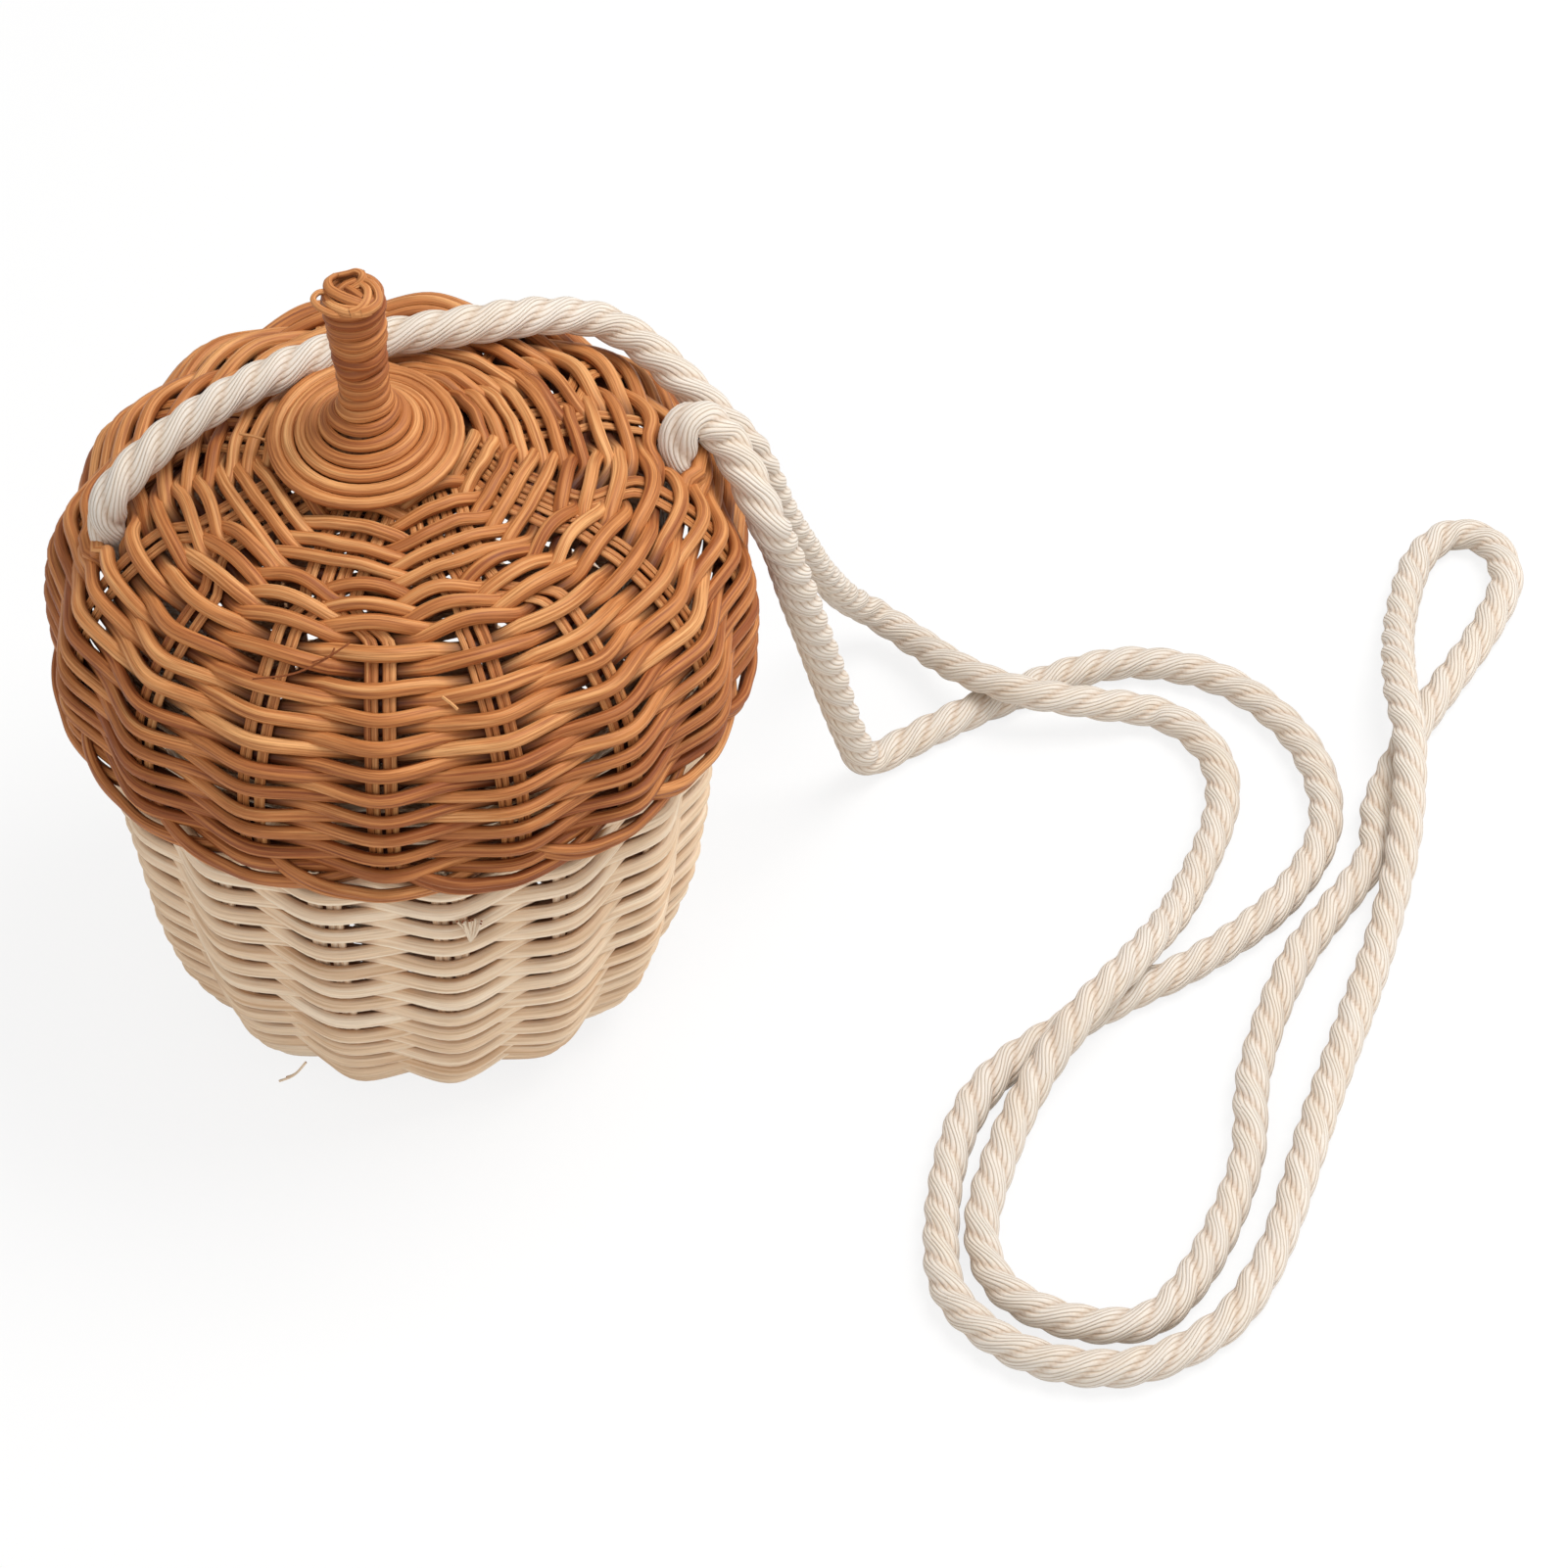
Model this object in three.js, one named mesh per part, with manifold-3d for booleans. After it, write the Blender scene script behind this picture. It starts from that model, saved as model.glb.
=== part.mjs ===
// An acorn-shaped basket: a round woven rattan cup, a domed rattan lid with a
// cane-wound stalk, and a twisted cotton strap that runs through both sides of
// the lid and is tied inside the cup. Millimetres, +Z up. The origin is on the
// ground under the centre of the cup.
import * as THREE from 'three';
import { mergeVertices } from 'three/addons/utils/BufferGeometryUtils.js';
import Module from 'manifold-3d';

const wasm = await Module();
wasm.setup();

// Rods and fits shared by the cup and the lid
const stakeCount = 16;
const stakeWidth = 8.6;
const stakeThickness = 2.4;
const crossRadius = 17.2;
const crossStep = 1;
const fitGap = 0.3;

// Cup, from the ground up to the shoulder that carries the lid
const cupRadius = 66.3;
const cupFootRadius = 31.5;
const cupShoulderHeight = 88.5;
const cupFullness = 0.77;
const cupFootSoftness = 1.26;
const cupCurveHeight = 92.8;
const cupWall = 4.7;
const cupRowPitch = 6.1;
const cupRowDepth = 1;
const cupScallopDepth = 2.4;
const cupStakeTurn = 10.25;
const cupStakeDrift = 3.5;

// Neck of the cup, which stands up inside the lid
const cupShoulderWidth = 5.3;
const neckHeight = 11.5;
const neckFillet = 3;
const cupBorderHeight = 4.6;
const cupBorderWidth = 6.4;

// Lid, from its rim up to the crown
const lidBulge = 4;
const lidRimTuck = 2.4;
const lidWidestHeight = 13.8;
const lidHeight = 62.6;
const lidShoulder = 0.78;
const lidCrown = 0.87;
const lidWall = 4.5;
const lidRowPitch = 5.3;
const lidRowDepth = 1;
const lidScallopDepth = 2.4;
const lidBorderHeight = 5.4;
const lidBorderWidth = 10.2;
const lidNeckClearance = 2.2;

// Stalk: a cane wound outwards into a disc round its foot
const caneDiameter = 2.2;
const canePitch = 2.72;
const discRadius = 21.2;
const stalkFootRadius = 5.3;
const stalkTopRadius = 6;
const stalkFlareHeight = 12.5;
const stalkHeight = 36;
const stalkStandoff = 1.6;
const stalkLean = 2;
const stalkOffset = { x: -4, y: -3 };
const knotHeight = 5.5;
const pegEndLength = 1.5;
const tieThickness = 3;
const tieRadius = 8.5;

// Strap: a three-strand cotton rope
const strapDiameter = 8;
const strapHoleClearance = 1.4;
const strapHoleTurn = 100.3;
const strapHoleDistance = 58.6;
const strapKnotDiameter = 15.5;
const strapKnotTurns = 3;
const strapKnotTurnHeight = 5.4;
const strapKnotGroove = 1.6;
const strapKnotDrop = 3.5;

// Fineness of the faceted forms
const samplesPerBay = 3;
const caneStepsPerTurn = 15;
const caneSides = 5;
const strapSides = 8;
const strapStepsPerPoint = 1.25;

// Colours as they look in daylight
const naturalRattan = new THREE.MeshStandardMaterial({ color: 0xe3d2b4, roughness: 0.6, metalness: 0 });
const stainedRattan = new THREE.MeshStandardMaterial({ color: 0xb8783c, roughness: 0.55, metalness: 0 });
const innerCane = new THREE.MeshStandardMaterial({ color: 0xa8682f, roughness: 0.6, metalness: 0 });
const cotton = new THREE.MeshStandardMaterial({ color: 0xece3d6, roughness: 0.95, metalness: 0 });

const basket = new THREE.Group();
const TAU = 2 * Math.PI;
const radians = THREE.MathUtils.degToRad;

function place(name, geometry, material, parent = basket) {
  const mesh = new THREE.Mesh(geometry, material);
  mesh.name = name;
  parent.add(mesh);
  return mesh;
}

// Closed meshes to solids and back, for cuts and joins

function toSolid(geometry) {
  const bare = geometry.clone();
  for (const key of Object.keys(bare.attributes)) {
    if (key !== 'position') bare.deleteAttribute(key);
  }
  const merged = mergeVertices(bare, 1e-4);
  const mesh = new wasm.Mesh({
    numProp: 3,
    vertProperties: new Float32Array(merged.attributes.position.array),
    triVerts: new Uint32Array(merged.index.array),
  });
  return new wasm.Manifold(mesh);
}

function toGeometry(solid) {
  const mesh = solid.getMesh();
  const geometry = new THREE.BufferGeometry();
  geometry.setAttribute('position', new THREE.BufferAttribute(new Float32Array(mesh.vertProperties), 3));
  geometry.setIndex(new THREE.BufferAttribute(new Uint32Array(mesh.triVerts), 1));
  geometry.computeVertexNormals();
  return geometry;
}

function placed(geometry, matrix) {
  return geometry.clone().applyMatrix4(matrix);
}

// A profile is a line of radius and height that can be read by its length

function makeProfile(points) {
  const lengths = [0];
  for (let i = 1; i < points.length; i += 1) {
    lengths.push(lengths[i - 1] + points[i].distanceTo(points[i - 1]));
  }
  const total = lengths[lengths.length - 1];
  const at = (s) => {
    let i = 1;
    while (i < points.length - 1 && lengths[i] < s) i += 1;
    const share = (s - lengths[i - 1]) / (lengths[i] - lengths[i - 1]);
    return points[i - 1].clone().lerp(points[i], THREE.MathUtils.clamp(share, 0, 1));
  };
  // The outward side of a line that runs up the wall is to its right
  const outward = (s) => {
    const reach = 1.5;
    const along = at(Math.min(s + reach, total)).sub(at(Math.max(s - reach, 0))).normalize();
    return new THREE.Vector2(along.y, -along.x);
  };
  const offset = (s, distance) => at(s).addScaledVector(outward(s), distance);
  // The length at which a test that starts true turns false
  const lengthWhile = (test) => {
    let low = 0;
    let high = total;
    for (let i = 0; i < 40; i += 1) {
      const middle = (low + high) / 2;
      if (test(middle)) low = middle;
      else high = middle;
    }
    return (low + high) / 2;
  };
  const lengthAtHeight = (height) => lengthWhile((s) => at(s).y < height);
  return { total, at, offset, lengthWhile, lengthAtHeight };
}

const curveSamples = 60;

// The neck stands inside the cup's wall, and the lid's rim goes round it
const neckRadius = cupRadius - cupShoulderWidth;
const lidBorderOuter = neckRadius + lidNeckClearance + lidBorderWidth;
const lidRimRadius = lidBorderOuter - lidRimTuck;
const lidRadius = lidRimRadius + lidBulge;

// Cup: a flat foot, a full round wall, a shoulder and an upright neck
const neckTop = cupShoulderHeight + neckHeight;
const neckBendHeight = cupShoulderHeight + 0.4 * neckFillet;
const neckUprightHeight = cupShoulderHeight + neckFillet;
const cupWallTop = cupShoulderHeight - (cupRadius - neckRadius);
const cupProfile = (() => {
  const points = [new THREE.Vector2(0, 0)];
  const wallEnd = Math.acos(1 - (cupWallTop / cupCurveHeight) ** (1 / cupFootSoftness));
  for (let i = 0; i <= curveSamples; i += 1) {
    const a = (i / curveSamples) * wallEnd;
    const r = cupFootRadius + (cupRadius - cupFootRadius) * Math.sin(a) ** cupFullness;
    points.push(new THREE.Vector2(r, cupCurveHeight * (1 - Math.cos(a)) ** cupFootSoftness));
  }
  // The shoulder is a rounded square corner, nearly flat where the lid sits
  const shoulder = new THREE.CubicBezierCurve(
    points[points.length - 1],
    new THREE.Vector2(cupRadius, cupShoulderHeight),
    new THREE.Vector2(cupRadius, cupShoulderHeight),
    new THREE.Vector2(neckRadius + 0.5 * neckFillet, cupShoulderHeight),
  );
  points.push(...shoulder.getPoints(10).slice(1));
  points.push(new THREE.Vector2(neckRadius + 0.1 * neckFillet, neckBendHeight));
  points.push(new THREE.Vector2(neckRadius, neckUprightHeight));
  points.push(new THREE.Vector2(neckRadius, neckTop));
  return makeProfile(points);
})();

// Lid: a rim that draws in, the widest line and a dome with a flat crown
const lidRimHeight = cupShoulderHeight + fitGap;
const crownHeight = lidRimHeight + lidHeight;
const lidProfile = (() => {
  const points = [];
  for (let i = 0; i <= 20; i += 1) {
    const t = i / 20;
    const r = lidRimRadius + (lidRadius - lidRimRadius) * Math.sqrt(1 - (1 - t) ** 2);
    points.push(new THREE.Vector2(r, lidRimHeight + lidWidestHeight * t));
  }
  for (let i = 1; i <= curveSamples; i += 1) {
    const a = (i / curveSamples) * (Math.PI / 2);
    const r = i === curveSamples ? 0 : lidRadius * Math.cos(a) ** lidShoulder;
    const z = lidWidestHeight + (lidHeight - lidWidestHeight) * Math.sin(a) ** lidCrown;
    points.push(new THREE.Vector2(r, lidRimHeight + z));
  }
  return makeProfile(points);
})();

// Angle 0 faces the front (-Y) and grows towards +X

function cupTurn(angle) {
  return angle + radians(cupStakeTurn) + radians(cupStakeDrift) * Math.sin(angle);
}

function lidTurn(angle) {
  return angle;
}

function pointAt(r, z, angle) {
  return new THREE.Vector3(r * Math.sin(angle), -r * Math.cos(angle), z);
}

// Quads between neighbouring rings, each ring closed on itself

function sideFaces(ringCount, sides, looped) {
  const faces = [];
  for (let i = 0; i < (looped ? ringCount : ringCount - 1); i += 1) {
    for (let j = 0; j < sides; j += 1) {
      const k = (j + 1) % sides;
      const row = i * sides;
      const next = ((i + 1) % ringCount) * sides;
      faces.push(row + j, row + k, next + k, row + j, next + k, next + j);
    }
  }
  return faces;
}

function indexedGeometry(positions, faces) {
  const geometry = new THREE.BufferGeometry();
  geometry.setAttribute('position', new THREE.Float32BufferAttribute(positions, 3));
  geometry.setIndex(faces);
  geometry.computeVertexNormals();
  return geometry;
}

// Rings of points joined into a closed skin, with a pole at each end

function skinFromRings(rings, poleStart, poleEnd) {
  const sides = rings[0].length;
  const positions = [];
  rings.forEach((ring) => ring.forEach((p) => positions.push(p.x, p.y, p.z)));
  positions.push(...poleStart.toArray(), ...poleEnd.toArray());
  const faces = sideFaces(rings.length, sides, false);
  const start = rings.length * sides;
  const last = (rings.length - 1) * sides;
  for (let j = 0; j < sides; j += 1) {
    const k = (j + 1) % sides;
    faces.push(start, k, j, start + 1, last + j, last + k);
  }
  return indexedGeometry(positions, faces);
}

// Rings of points joined into a closed bar, capped at both ends

function barFromRings(rings) {
  const sides = rings[0].length;
  const positions = [];
  rings.forEach((ring) => ring.forEach((p) => positions.push(p.x, p.y, p.z)));
  const faces = sideFaces(rings.length, sides, false);
  const last = (rings.length - 1) * sides;
  for (let j = 1; j < sides - 1; j += 1) {
    faces.push(0, j + 1, j, last, last + j, last + j + 1);
  }
  return indexedGeometry(positions, faces);
}

// Woven shell: every row of weavers is a rib that swells over each group of
// stakes, so the wall is scalloped all round. The inside is smooth.

function scallop(angle, depth) {
  return -depth * 0.5 * (1 - Math.cos(stakeCount * angle));
}

function shellRing(profile, turn, s, offset, scallopDepth) {
  const sides = stakeCount * samplesPerBay;
  return Array.from({ length: sides }, (_, j) => {
    const angle = (j / sides) * TAU;
    const p = profile.offset(s, offset + scallop(angle, scallopDepth));
    return pointAt(p.x, p.y, turn(angle));
  });
}

function wovenRows(profile, turn, from, to, pitch, rowDepth, scallopDepth) {
  const rows = Math.round((to - from) / pitch);
  const step = (to - from) / rows;
  const valleyPlace = 0.06;
  const rings = [];
  for (let row = 0; row < rows; row += 1) {
    const start = from + row * step;
    rings.push(shellRing(profile, turn, start + valleyPlace * step, -rowDepth, scallopDepth));
    rings.push(shellRing(profile, turn, start + 0.5 * step, 0, scallopDepth));
  }
  return rings;
}

// Each stake group is a flat bundle that lies against the inside of the shell.
// Its flat face stands clear of the shell's facets by facetDrop and the gap.

const facetDrop = (stakeWidth / 2) * Math.tan(Math.PI / (stakeCount * samplesPerBay));
const stakeDepth = (wall) => wall + fitGap + facetDrop + stakeThickness;

function stakeBundle(profile, turn, angle, wall, stations) {
  const centre = turn(angle);
  const across = new THREE.Vector3(Math.cos(centre), Math.sin(centre), 0);
  const rings = stations.map((s) => {
    const outer = profile.offset(s, -wall - fitGap - facetDrop);
    const inner = profile.offset(s, -stakeDepth(wall));
    const room = 2 * Math.min(inner.x, outer.x) * Math.tan(Math.PI / stakeCount) - 2 * fitGap;
    const half = Math.min(stakeWidth, room) / 2;
    return [[outer, -half], [outer, half], [inner, half], [inner, -half]].map(
      ([p, side]) => pointAt(p.x, p.y, centre).addScaledVector(across, side),
    );
  });
  return barFromRings(rings);
}

// The stake groups cross in the middle: half of them pass over the others

function spokeCross(turn, height, upwards, pegHole) {
  const width = 2 * crossRadius * Math.tan(Math.PI / stakeCount) * 0.9 - 2 * fitGap;
  let solid = null;
  for (let k = 0; k < stakeCount; k += 1) {
    const over = k % (stakeCount / 2) < stakeCount / 4;
    const thickness = stakeThickness + (over ? crossStep : 0);
    const angle = turn((k / stakeCount) * TAU);
    const bar = new THREE.BoxGeometry(width, crossRadius, thickness);
    bar.translate(0, -crossRadius / 2, (upwards ? 1 : -1) * thickness * 0.5);
    bar.rotateZ(angle);
    bar.translate(0, 0, height);
    const piece = toSolid(bar);
    solid = solid ? solid.add(piece) : piece;
  }
  return toGeometry(pegHole ? solid.subtract(pegHole) : solid);
}

// A border is a ring of folded rods that swells over each stake group
const borderSwell = 0.35;
const borderSection = [[1, 0], [0.7, 1], [-0.7, 1], [-1, 0], [-0.7, -1], [0.7, -1]];

function borderRing(turn, outerRadius, bottom, width, height) {
  const sides = stakeCount * samplesPerBay;
  const positions = [];
  for (let j = 0; j < sides; j += 1) {
    const angle = (j / sides) * TAU;
    const halfWidth = width / 2 + scallop(angle, borderSwell);
    borderSection.forEach(([across, up]) => {
      const r = outerRadius - width / 2 + across * halfWidth;
      const p = pointAt(r, bottom + ((1 + up) * height) / 2, turn(angle));
      positions.push(p.x, p.y, p.z);
    });
  }
  return indexedGeometry(positions, sideFaces(sides, borderSection.length, true).reverse());
}

function lathe(points, segments) {
  const outline = points.map(([r, z]) => new THREE.Vector2(r, z));
  return new THREE.LatheGeometry(outline, segments).rotateX(Math.PI / 2);
}

// Cup: shell, stake groups, the cross in its base and the border on its neck
const cupStations = [
  crossRadius + fitGap,
  cupFootRadius,
  ...[0.06, 0.24, 0.6, 1].map((share) => cupProfile.lengthAtHeight(cupWallTop * share)),
  cupProfile.lengthAtHeight(neckBendHeight),
  cupProfile.lengthAtHeight(neckUprightHeight),
  cupProfile.total,
];
const shoulderStations = [
  cupProfile.lengthAtHeight(cupWallTop),
  cupProfile.lengthAtHeight(cupShoulderHeight - fitGap),
  ...cupStations.slice(-3),
];
const cupRings = [
  shellRing(cupProfile, cupTurn, cupFootRadius, 0, 0),
  ...wovenRows(cupProfile, cupTurn, cupFootRadius, cupProfile.lengthAtHeight(cupWallTop),
    cupRowPitch, cupRowDepth, cupScallopDepth),
  shellRing(cupProfile, cupTurn, shoulderStations[0], 0, cupScallopDepth),
  ...shoulderStations.slice(1).map((s) => shellRing(cupProfile, cupTurn, s, 0, 0)),
  ...[...cupStations].reverse().map((s) => shellRing(cupProfile, cupTurn, s, -cupWall, 0)),
];
const cupShell = skinFromRings(cupRings, pointAt(0, 0, 0), pointAt(0, cupWall, 0));
place('cup_weave', cupShell, naturalRattan);

for (let k = 0; k < stakeCount; k += 1) {
  const label = String(k + 1).padStart(2, '0');
  const bundle = stakeBundle(cupProfile, cupTurn, (k / stakeCount) * TAU, cupWall, cupStations);
  place(`cup_stake_group_${label}`, bundle, naturalRattan);
}
place('cup_base_cross', spokeCross(cupTurn, cupWall + fitGap, true, null), naturalRattan);
const cupBorder = borderRing(cupTurn, neckRadius, neckTop + fitGap, cupBorderWidth, cupBorderHeight);
place('cup_border', cupBorder, naturalRattan);

// Stalk frame: it stands on the crown, a little off the middle, and leans
const stalk = new THREE.Group();
stalk.position.set(stalkOffset.x, stalkOffset.y, crownHeight + stalkStandoff);
stalk.rotation.y = -radians(stalkLean);
stalk.updateMatrix();
basket.add(stalk);

const caneRadius = caneDiameter / 2;
const pegRadius = stalkFootRadius - caneDiameter - fitGap;
const crossEdge = lidProfile.lengthWhile((s) => lidProfile.at(s).x > crossRadius);
const lidCrossTop = lidProfile.offset(crossEdge, -lidWall - fitGap).y;
const leanRise = (radius) => radius * Math.sin(radians(stalkLean));
const lidCrossBottom = lidCrossTop - stakeThickness - crossStep - stalk.position.z;
const tieTop = lidCrossBottom - fitGap - leanRise(tieRadius);
const pegBottom = tieTop - tieThickness - pegEndLength;

const pegHole = toSolid(placed(
  lathe([[0, pegBottom], [pegRadius + fitGap, pegBottom], [pegRadius + fitGap, 0], [0, 0]], 12),
  stalk.matrix,
));

// Lid: shell with the two strap holes, stake groups, cross and border
const lidShellStart = lidProfile.lengthAtHeight(lidRimHeight + lidBorderHeight + fitGap);
const lidRowsEnd = lidProfile.lengthWhile((s) => lidProfile.at(s).x > discRadius);
const lidStakeEnd = lidProfile.lengthWhile(
  (s) => lidProfile.offset(s, -stakeDepth(lidWall)).x > crossRadius + fitGap,
);
const lidStations = [0, 0.16, 0.34, 0.51, 0.67, 0.83, 1].map(
  (share) => lidShellStart + share * (lidStakeEnd - lidShellStart),
);
const lidRings = [
  ...[...lidStations].reverse().map((s) => shellRing(lidProfile, lidTurn, s, -lidWall, 0)),
  ...wovenRows(lidProfile, lidTurn, lidShellStart, lidRowsEnd, lidRowPitch, lidRowDepth, lidScallopDepth),
  shellRing(lidProfile, lidTurn, lidRowsEnd, 0, 0),
  shellRing(lidProfile, lidTurn, (lidRowsEnd + lidProfile.total) / 2, 0, 0),
];

function strapHole(angleDegrees) {
  const radius = strapDiameter / 2 + strapHoleClearance;
  const drill = new THREE.CylinderGeometry(radius, radius, 6 * lidWall, 12).rotateX(Math.PI / 2);
  const wallLength = lidProfile.lengthWhile((s) => lidProfile.at(s).x > strapHoleDistance);
  const p = pointAt(strapHoleDistance, lidProfile.at(wallLength).y, radians(angleDegrees));
  return toSolid(drill.translate(p.x, p.y, p.z));
}

const plainLid = skinFromRings(lidRings, pointAt(0, crownHeight - lidWall, 0), pointAt(0, crownHeight, 0));
const lidShell = toSolid(plainLid)
  .subtract(pegHole)
  .subtract(strapHole(strapHoleTurn))
  .subtract(strapHole(strapHoleTurn - 180));
place('lid_weave', toGeometry(lidShell), stainedRattan);

for (let k = 0; k < stakeCount; k += 1) {
  const label = String(k + 1).padStart(2, '0');
  const bundle = stakeBundle(lidProfile, lidTurn, (k / stakeCount) * TAU, lidWall, lidStations);
  place(`lid_stake_group_${label}`, bundle, stainedRattan);
}
place('lid_spoke_cross', spokeCross(lidTurn, lidCrossTop, false, pegHole), stainedRattan);
const lidBorder = borderRing(lidTurn, lidBorderOuter, lidRimHeight, lidBorderWidth, lidBorderHeight);
place('lid_border', lidBorder, stainedRattan);

// Stalk: the cane starts at the rim of the disc, coils inwards and climbs
const caneLine = new THREE.CurvePath();
const discEdge = new THREE.Vector2(discRadius - caneRadius, caneRadius + 0.1);
const stalkFoot = new THREE.Vector2(stalkFootRadius - caneRadius, stalkFlareHeight);
const stalkTop = new THREE.Vector2(stalkTopRadius - caneRadius, stalkHeight);
const flareReach = discEdge.x - stalkFoot.x;
caneLine.add(new THREE.CubicBezierCurve(
  discEdge,
  new THREE.Vector2(discEdge.x - 0.65 * flareReach, discEdge.y + 0.4),
  new THREE.Vector2(stalkFoot.x + 0.4, stalkFoot.y * 0.4),
  stalkFoot,
));
caneLine.add(new THREE.LineCurve(stalkFoot, stalkTop));

const caneTurns = caneLine.getLength() / canePitch;

function canePoint(share) {
  const p = caneLine.getPointAt(THREE.MathUtils.clamp(share, 0, 1));
  return pointAt(p.x, p.y, share * caneTurns * TAU);
}

function caneWinding() {
  const steps = Math.round(caneTurns * caneStepsPerTurn);
  const points = Array.from({ length: steps + 1 }, (_, i) => canePoint(i / steps));
  // Both ends run straight for one cane diameter
  const first = points[0].clone().sub(points[1]).setLength(caneDiameter);
  const last = points[steps].clone().sub(points[steps - 1]).setLength(caneDiameter);
  points.unshift(points[0].clone().add(first));
  points.push(points[steps + 1].clone().add(last));
  const rings = points.map((p, i) => {
    const after = points[Math.min(i + 1, points.length - 1)];
    const before = points[Math.max(i - 1, 0)];
    const along = after.clone().sub(before).normalize();
    const share = THREE.MathUtils.clamp((i - 1) / steps, 0, 1);
    const line = caneLine.getTangentAt(share);
    const angle = share * caneTurns * TAU;
    const outward = pointAt(line.y, -line.x, angle);
    const normal = outward.addScaledVector(along, -outward.dot(along)).normalize();
    const side = new THREE.Vector3().crossVectors(along, normal);
    return Array.from({ length: caneSides }, (_, j) => {
      const a = (j / caneSides) * TAU;
      return p.clone()
        .addScaledVector(normal, caneRadius * Math.cos(a))
        .addScaledVector(side, caneRadius * Math.sin(a));
    });
  });
  return { geometry: barFromRings(rings), points };
}

function leastGap(points, diameter) {
  let least = Infinity;
  const skip = Math.round(caneStepsPerTurn / 2);
  for (let i = 0; i < points.length; i += 1) {
    for (let j = i + skip; j < points.length; j += 1) {
      least = Math.min(least, points[i].distanceTo(points[j]));
    }
  }
  return least - diameter;
}

const winding = caneWinding();
place('stalk_winding', winding.geometry, stainedRattan, stalk);
const windingGap = leastGap(winding.points, caneDiameter);
console.log(`stalk winding: ${caneTurns.toFixed(1)} turns, least gap ${windingGap.toFixed(2)} mm`);

// A peg under the winding: its foot passes through the crown and is tied inside
const underCane = (share) => {
  const p = caneLine.getPointAt(share);
  const line = caneLine.getTangentAt(share);
  const clear = caneRadius + fitGap;
  return [p.x - line.y * clear, p.y + line.x * clear];
};
const knotBase = stalkHeight + caneRadius + fitGap;
const flareShare = caneLine.getCurveLengths()[0] / caneLine.getLength();
const collarShares = [0.3, 0.45, 0.6, 0.75, 0.88, 1].map((share) => share * flareShare);
const collarBottom = -0.4;
const pegOutline = [
  [0, pegBottom],
  [pegRadius, pegBottom],
  [pegRadius, collarBottom],
  [underCane(collarShares[0])[0], collarBottom],
  ...collarShares.map(underCane),
  [stalkTop.x - caneRadius - fitGap, stalkHeight],
  [stalkTop.x - caneRadius - fitGap, knotBase - fitGap],
  [0, knotBase - fitGap],
];
place('stalk_peg', lathe(pegOutline, 12), innerCane, stalk);

const tieMiddle = (pegRadius + fitGap + tieRadius) / 2;
const tieHalf = (tieRadius - pegRadius - fitGap) / 2;
const tieOutline = Array.from({ length: 7 }, (_, i) => {
  const a = (i / 6) * TAU;
  return [tieMiddle + tieHalf * Math.sin(a), tieTop - tieThickness / 2 - (tieThickness / 2) * Math.cos(a)];
});
place('stalk_tie', lathe(tieOutline, 12), innerCane, stalk);

// The cane is folded over the top of the stalk in three crossing bands
function topKnot() {
  const bulge = stalkTopRadius - fitGap;
  const bandOffset = 1.6;
  const dome = lathe([
    [0, knotBase],
    [bulge - 0.5, knotBase],
    [bulge, knotBase + 0.25 * knotHeight],
    [bulge - 1, knotBase + 0.55 * knotHeight],
    [bulge * 0.5, knotBase + 0.8 * knotHeight],
    [0, knotBase + 0.85 * knotHeight],
  ], 12);
  let solid = toSolid(dome);
  const bands = 3;
  for (let k = 0; k < bands; k += 1) {
    const heading = (k / bands) * TAU;
    const line = [-1, -0.75, -0.3, 0.3, 0.75, 1].map((t) => {
      const arch = Math.cos(t * Math.PI / 2);
      const height = knotBase + caneRadius + 0.1 + (knotHeight - caneDiameter) * arch ** 0.8;
      const along = new THREE.Vector3((bulge - 0.2) * t, bandOffset * arch, height);
      return along.applyAxisAngle(new THREE.Vector3(0, 0, 1), heading);
    });
    solid = solid.add(toSolid(tube(new THREE.CatmullRomCurve3(line), 6, caneRadius, 5)));
  }
  return toGeometry(solid);
}

function tube(curve, steps, radius, sides) {
  const section = new THREE.Shape(Array.from({ length: sides }, (_, i) => {
    const a = (i / sides) * TAU;
    return new THREE.Vector2(radius * Math.cos(a), radius * Math.sin(a));
  }));
  const options = { steps, extrudePath: curve, bevelEnabled: false, curveSegments: 1 };
  return new THREE.ExtrudeGeometry(section, options);
}

place('stalk_top_knot', topKnot(), stainedRattan, stalk);

// Strap: one rope from a knot in the cup, up through the left hole, over the
// crown behind the stalk, twice round on the ground and back to the right hole.
// Each list of points runs on from the one before.
const strapKnotRadius = strapKnotDiameter / 2;
const strapKnotDistance = neckRadius - stakeDepth(cupWall) - fitGap - strapKnotRadius;
const routeInLeft = [[-44.9, -8.5, 96.7], [-44.9, -8.5, 100], [-47, -9, 106], [-52.5, -10.2, 115]];
const routeOverLid = [
  [-57, -10.8, 125], [-57.9, -11, 134], [-56.8, -10.8, 142], [-46, -2.6, 150.3], [-28, 10.6, 154.4],
  [-8, 21.4, 155.2], [14, 29.4, 153.4], [31, 38.8, 148], [41, 42.4, 143.5], [49, 39.5, 140.6],
  [58, 31.2, 137.4], [66, 25.4, 132], [72, 24.4, 125], [75.4, 26.5, 115],
];
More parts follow.
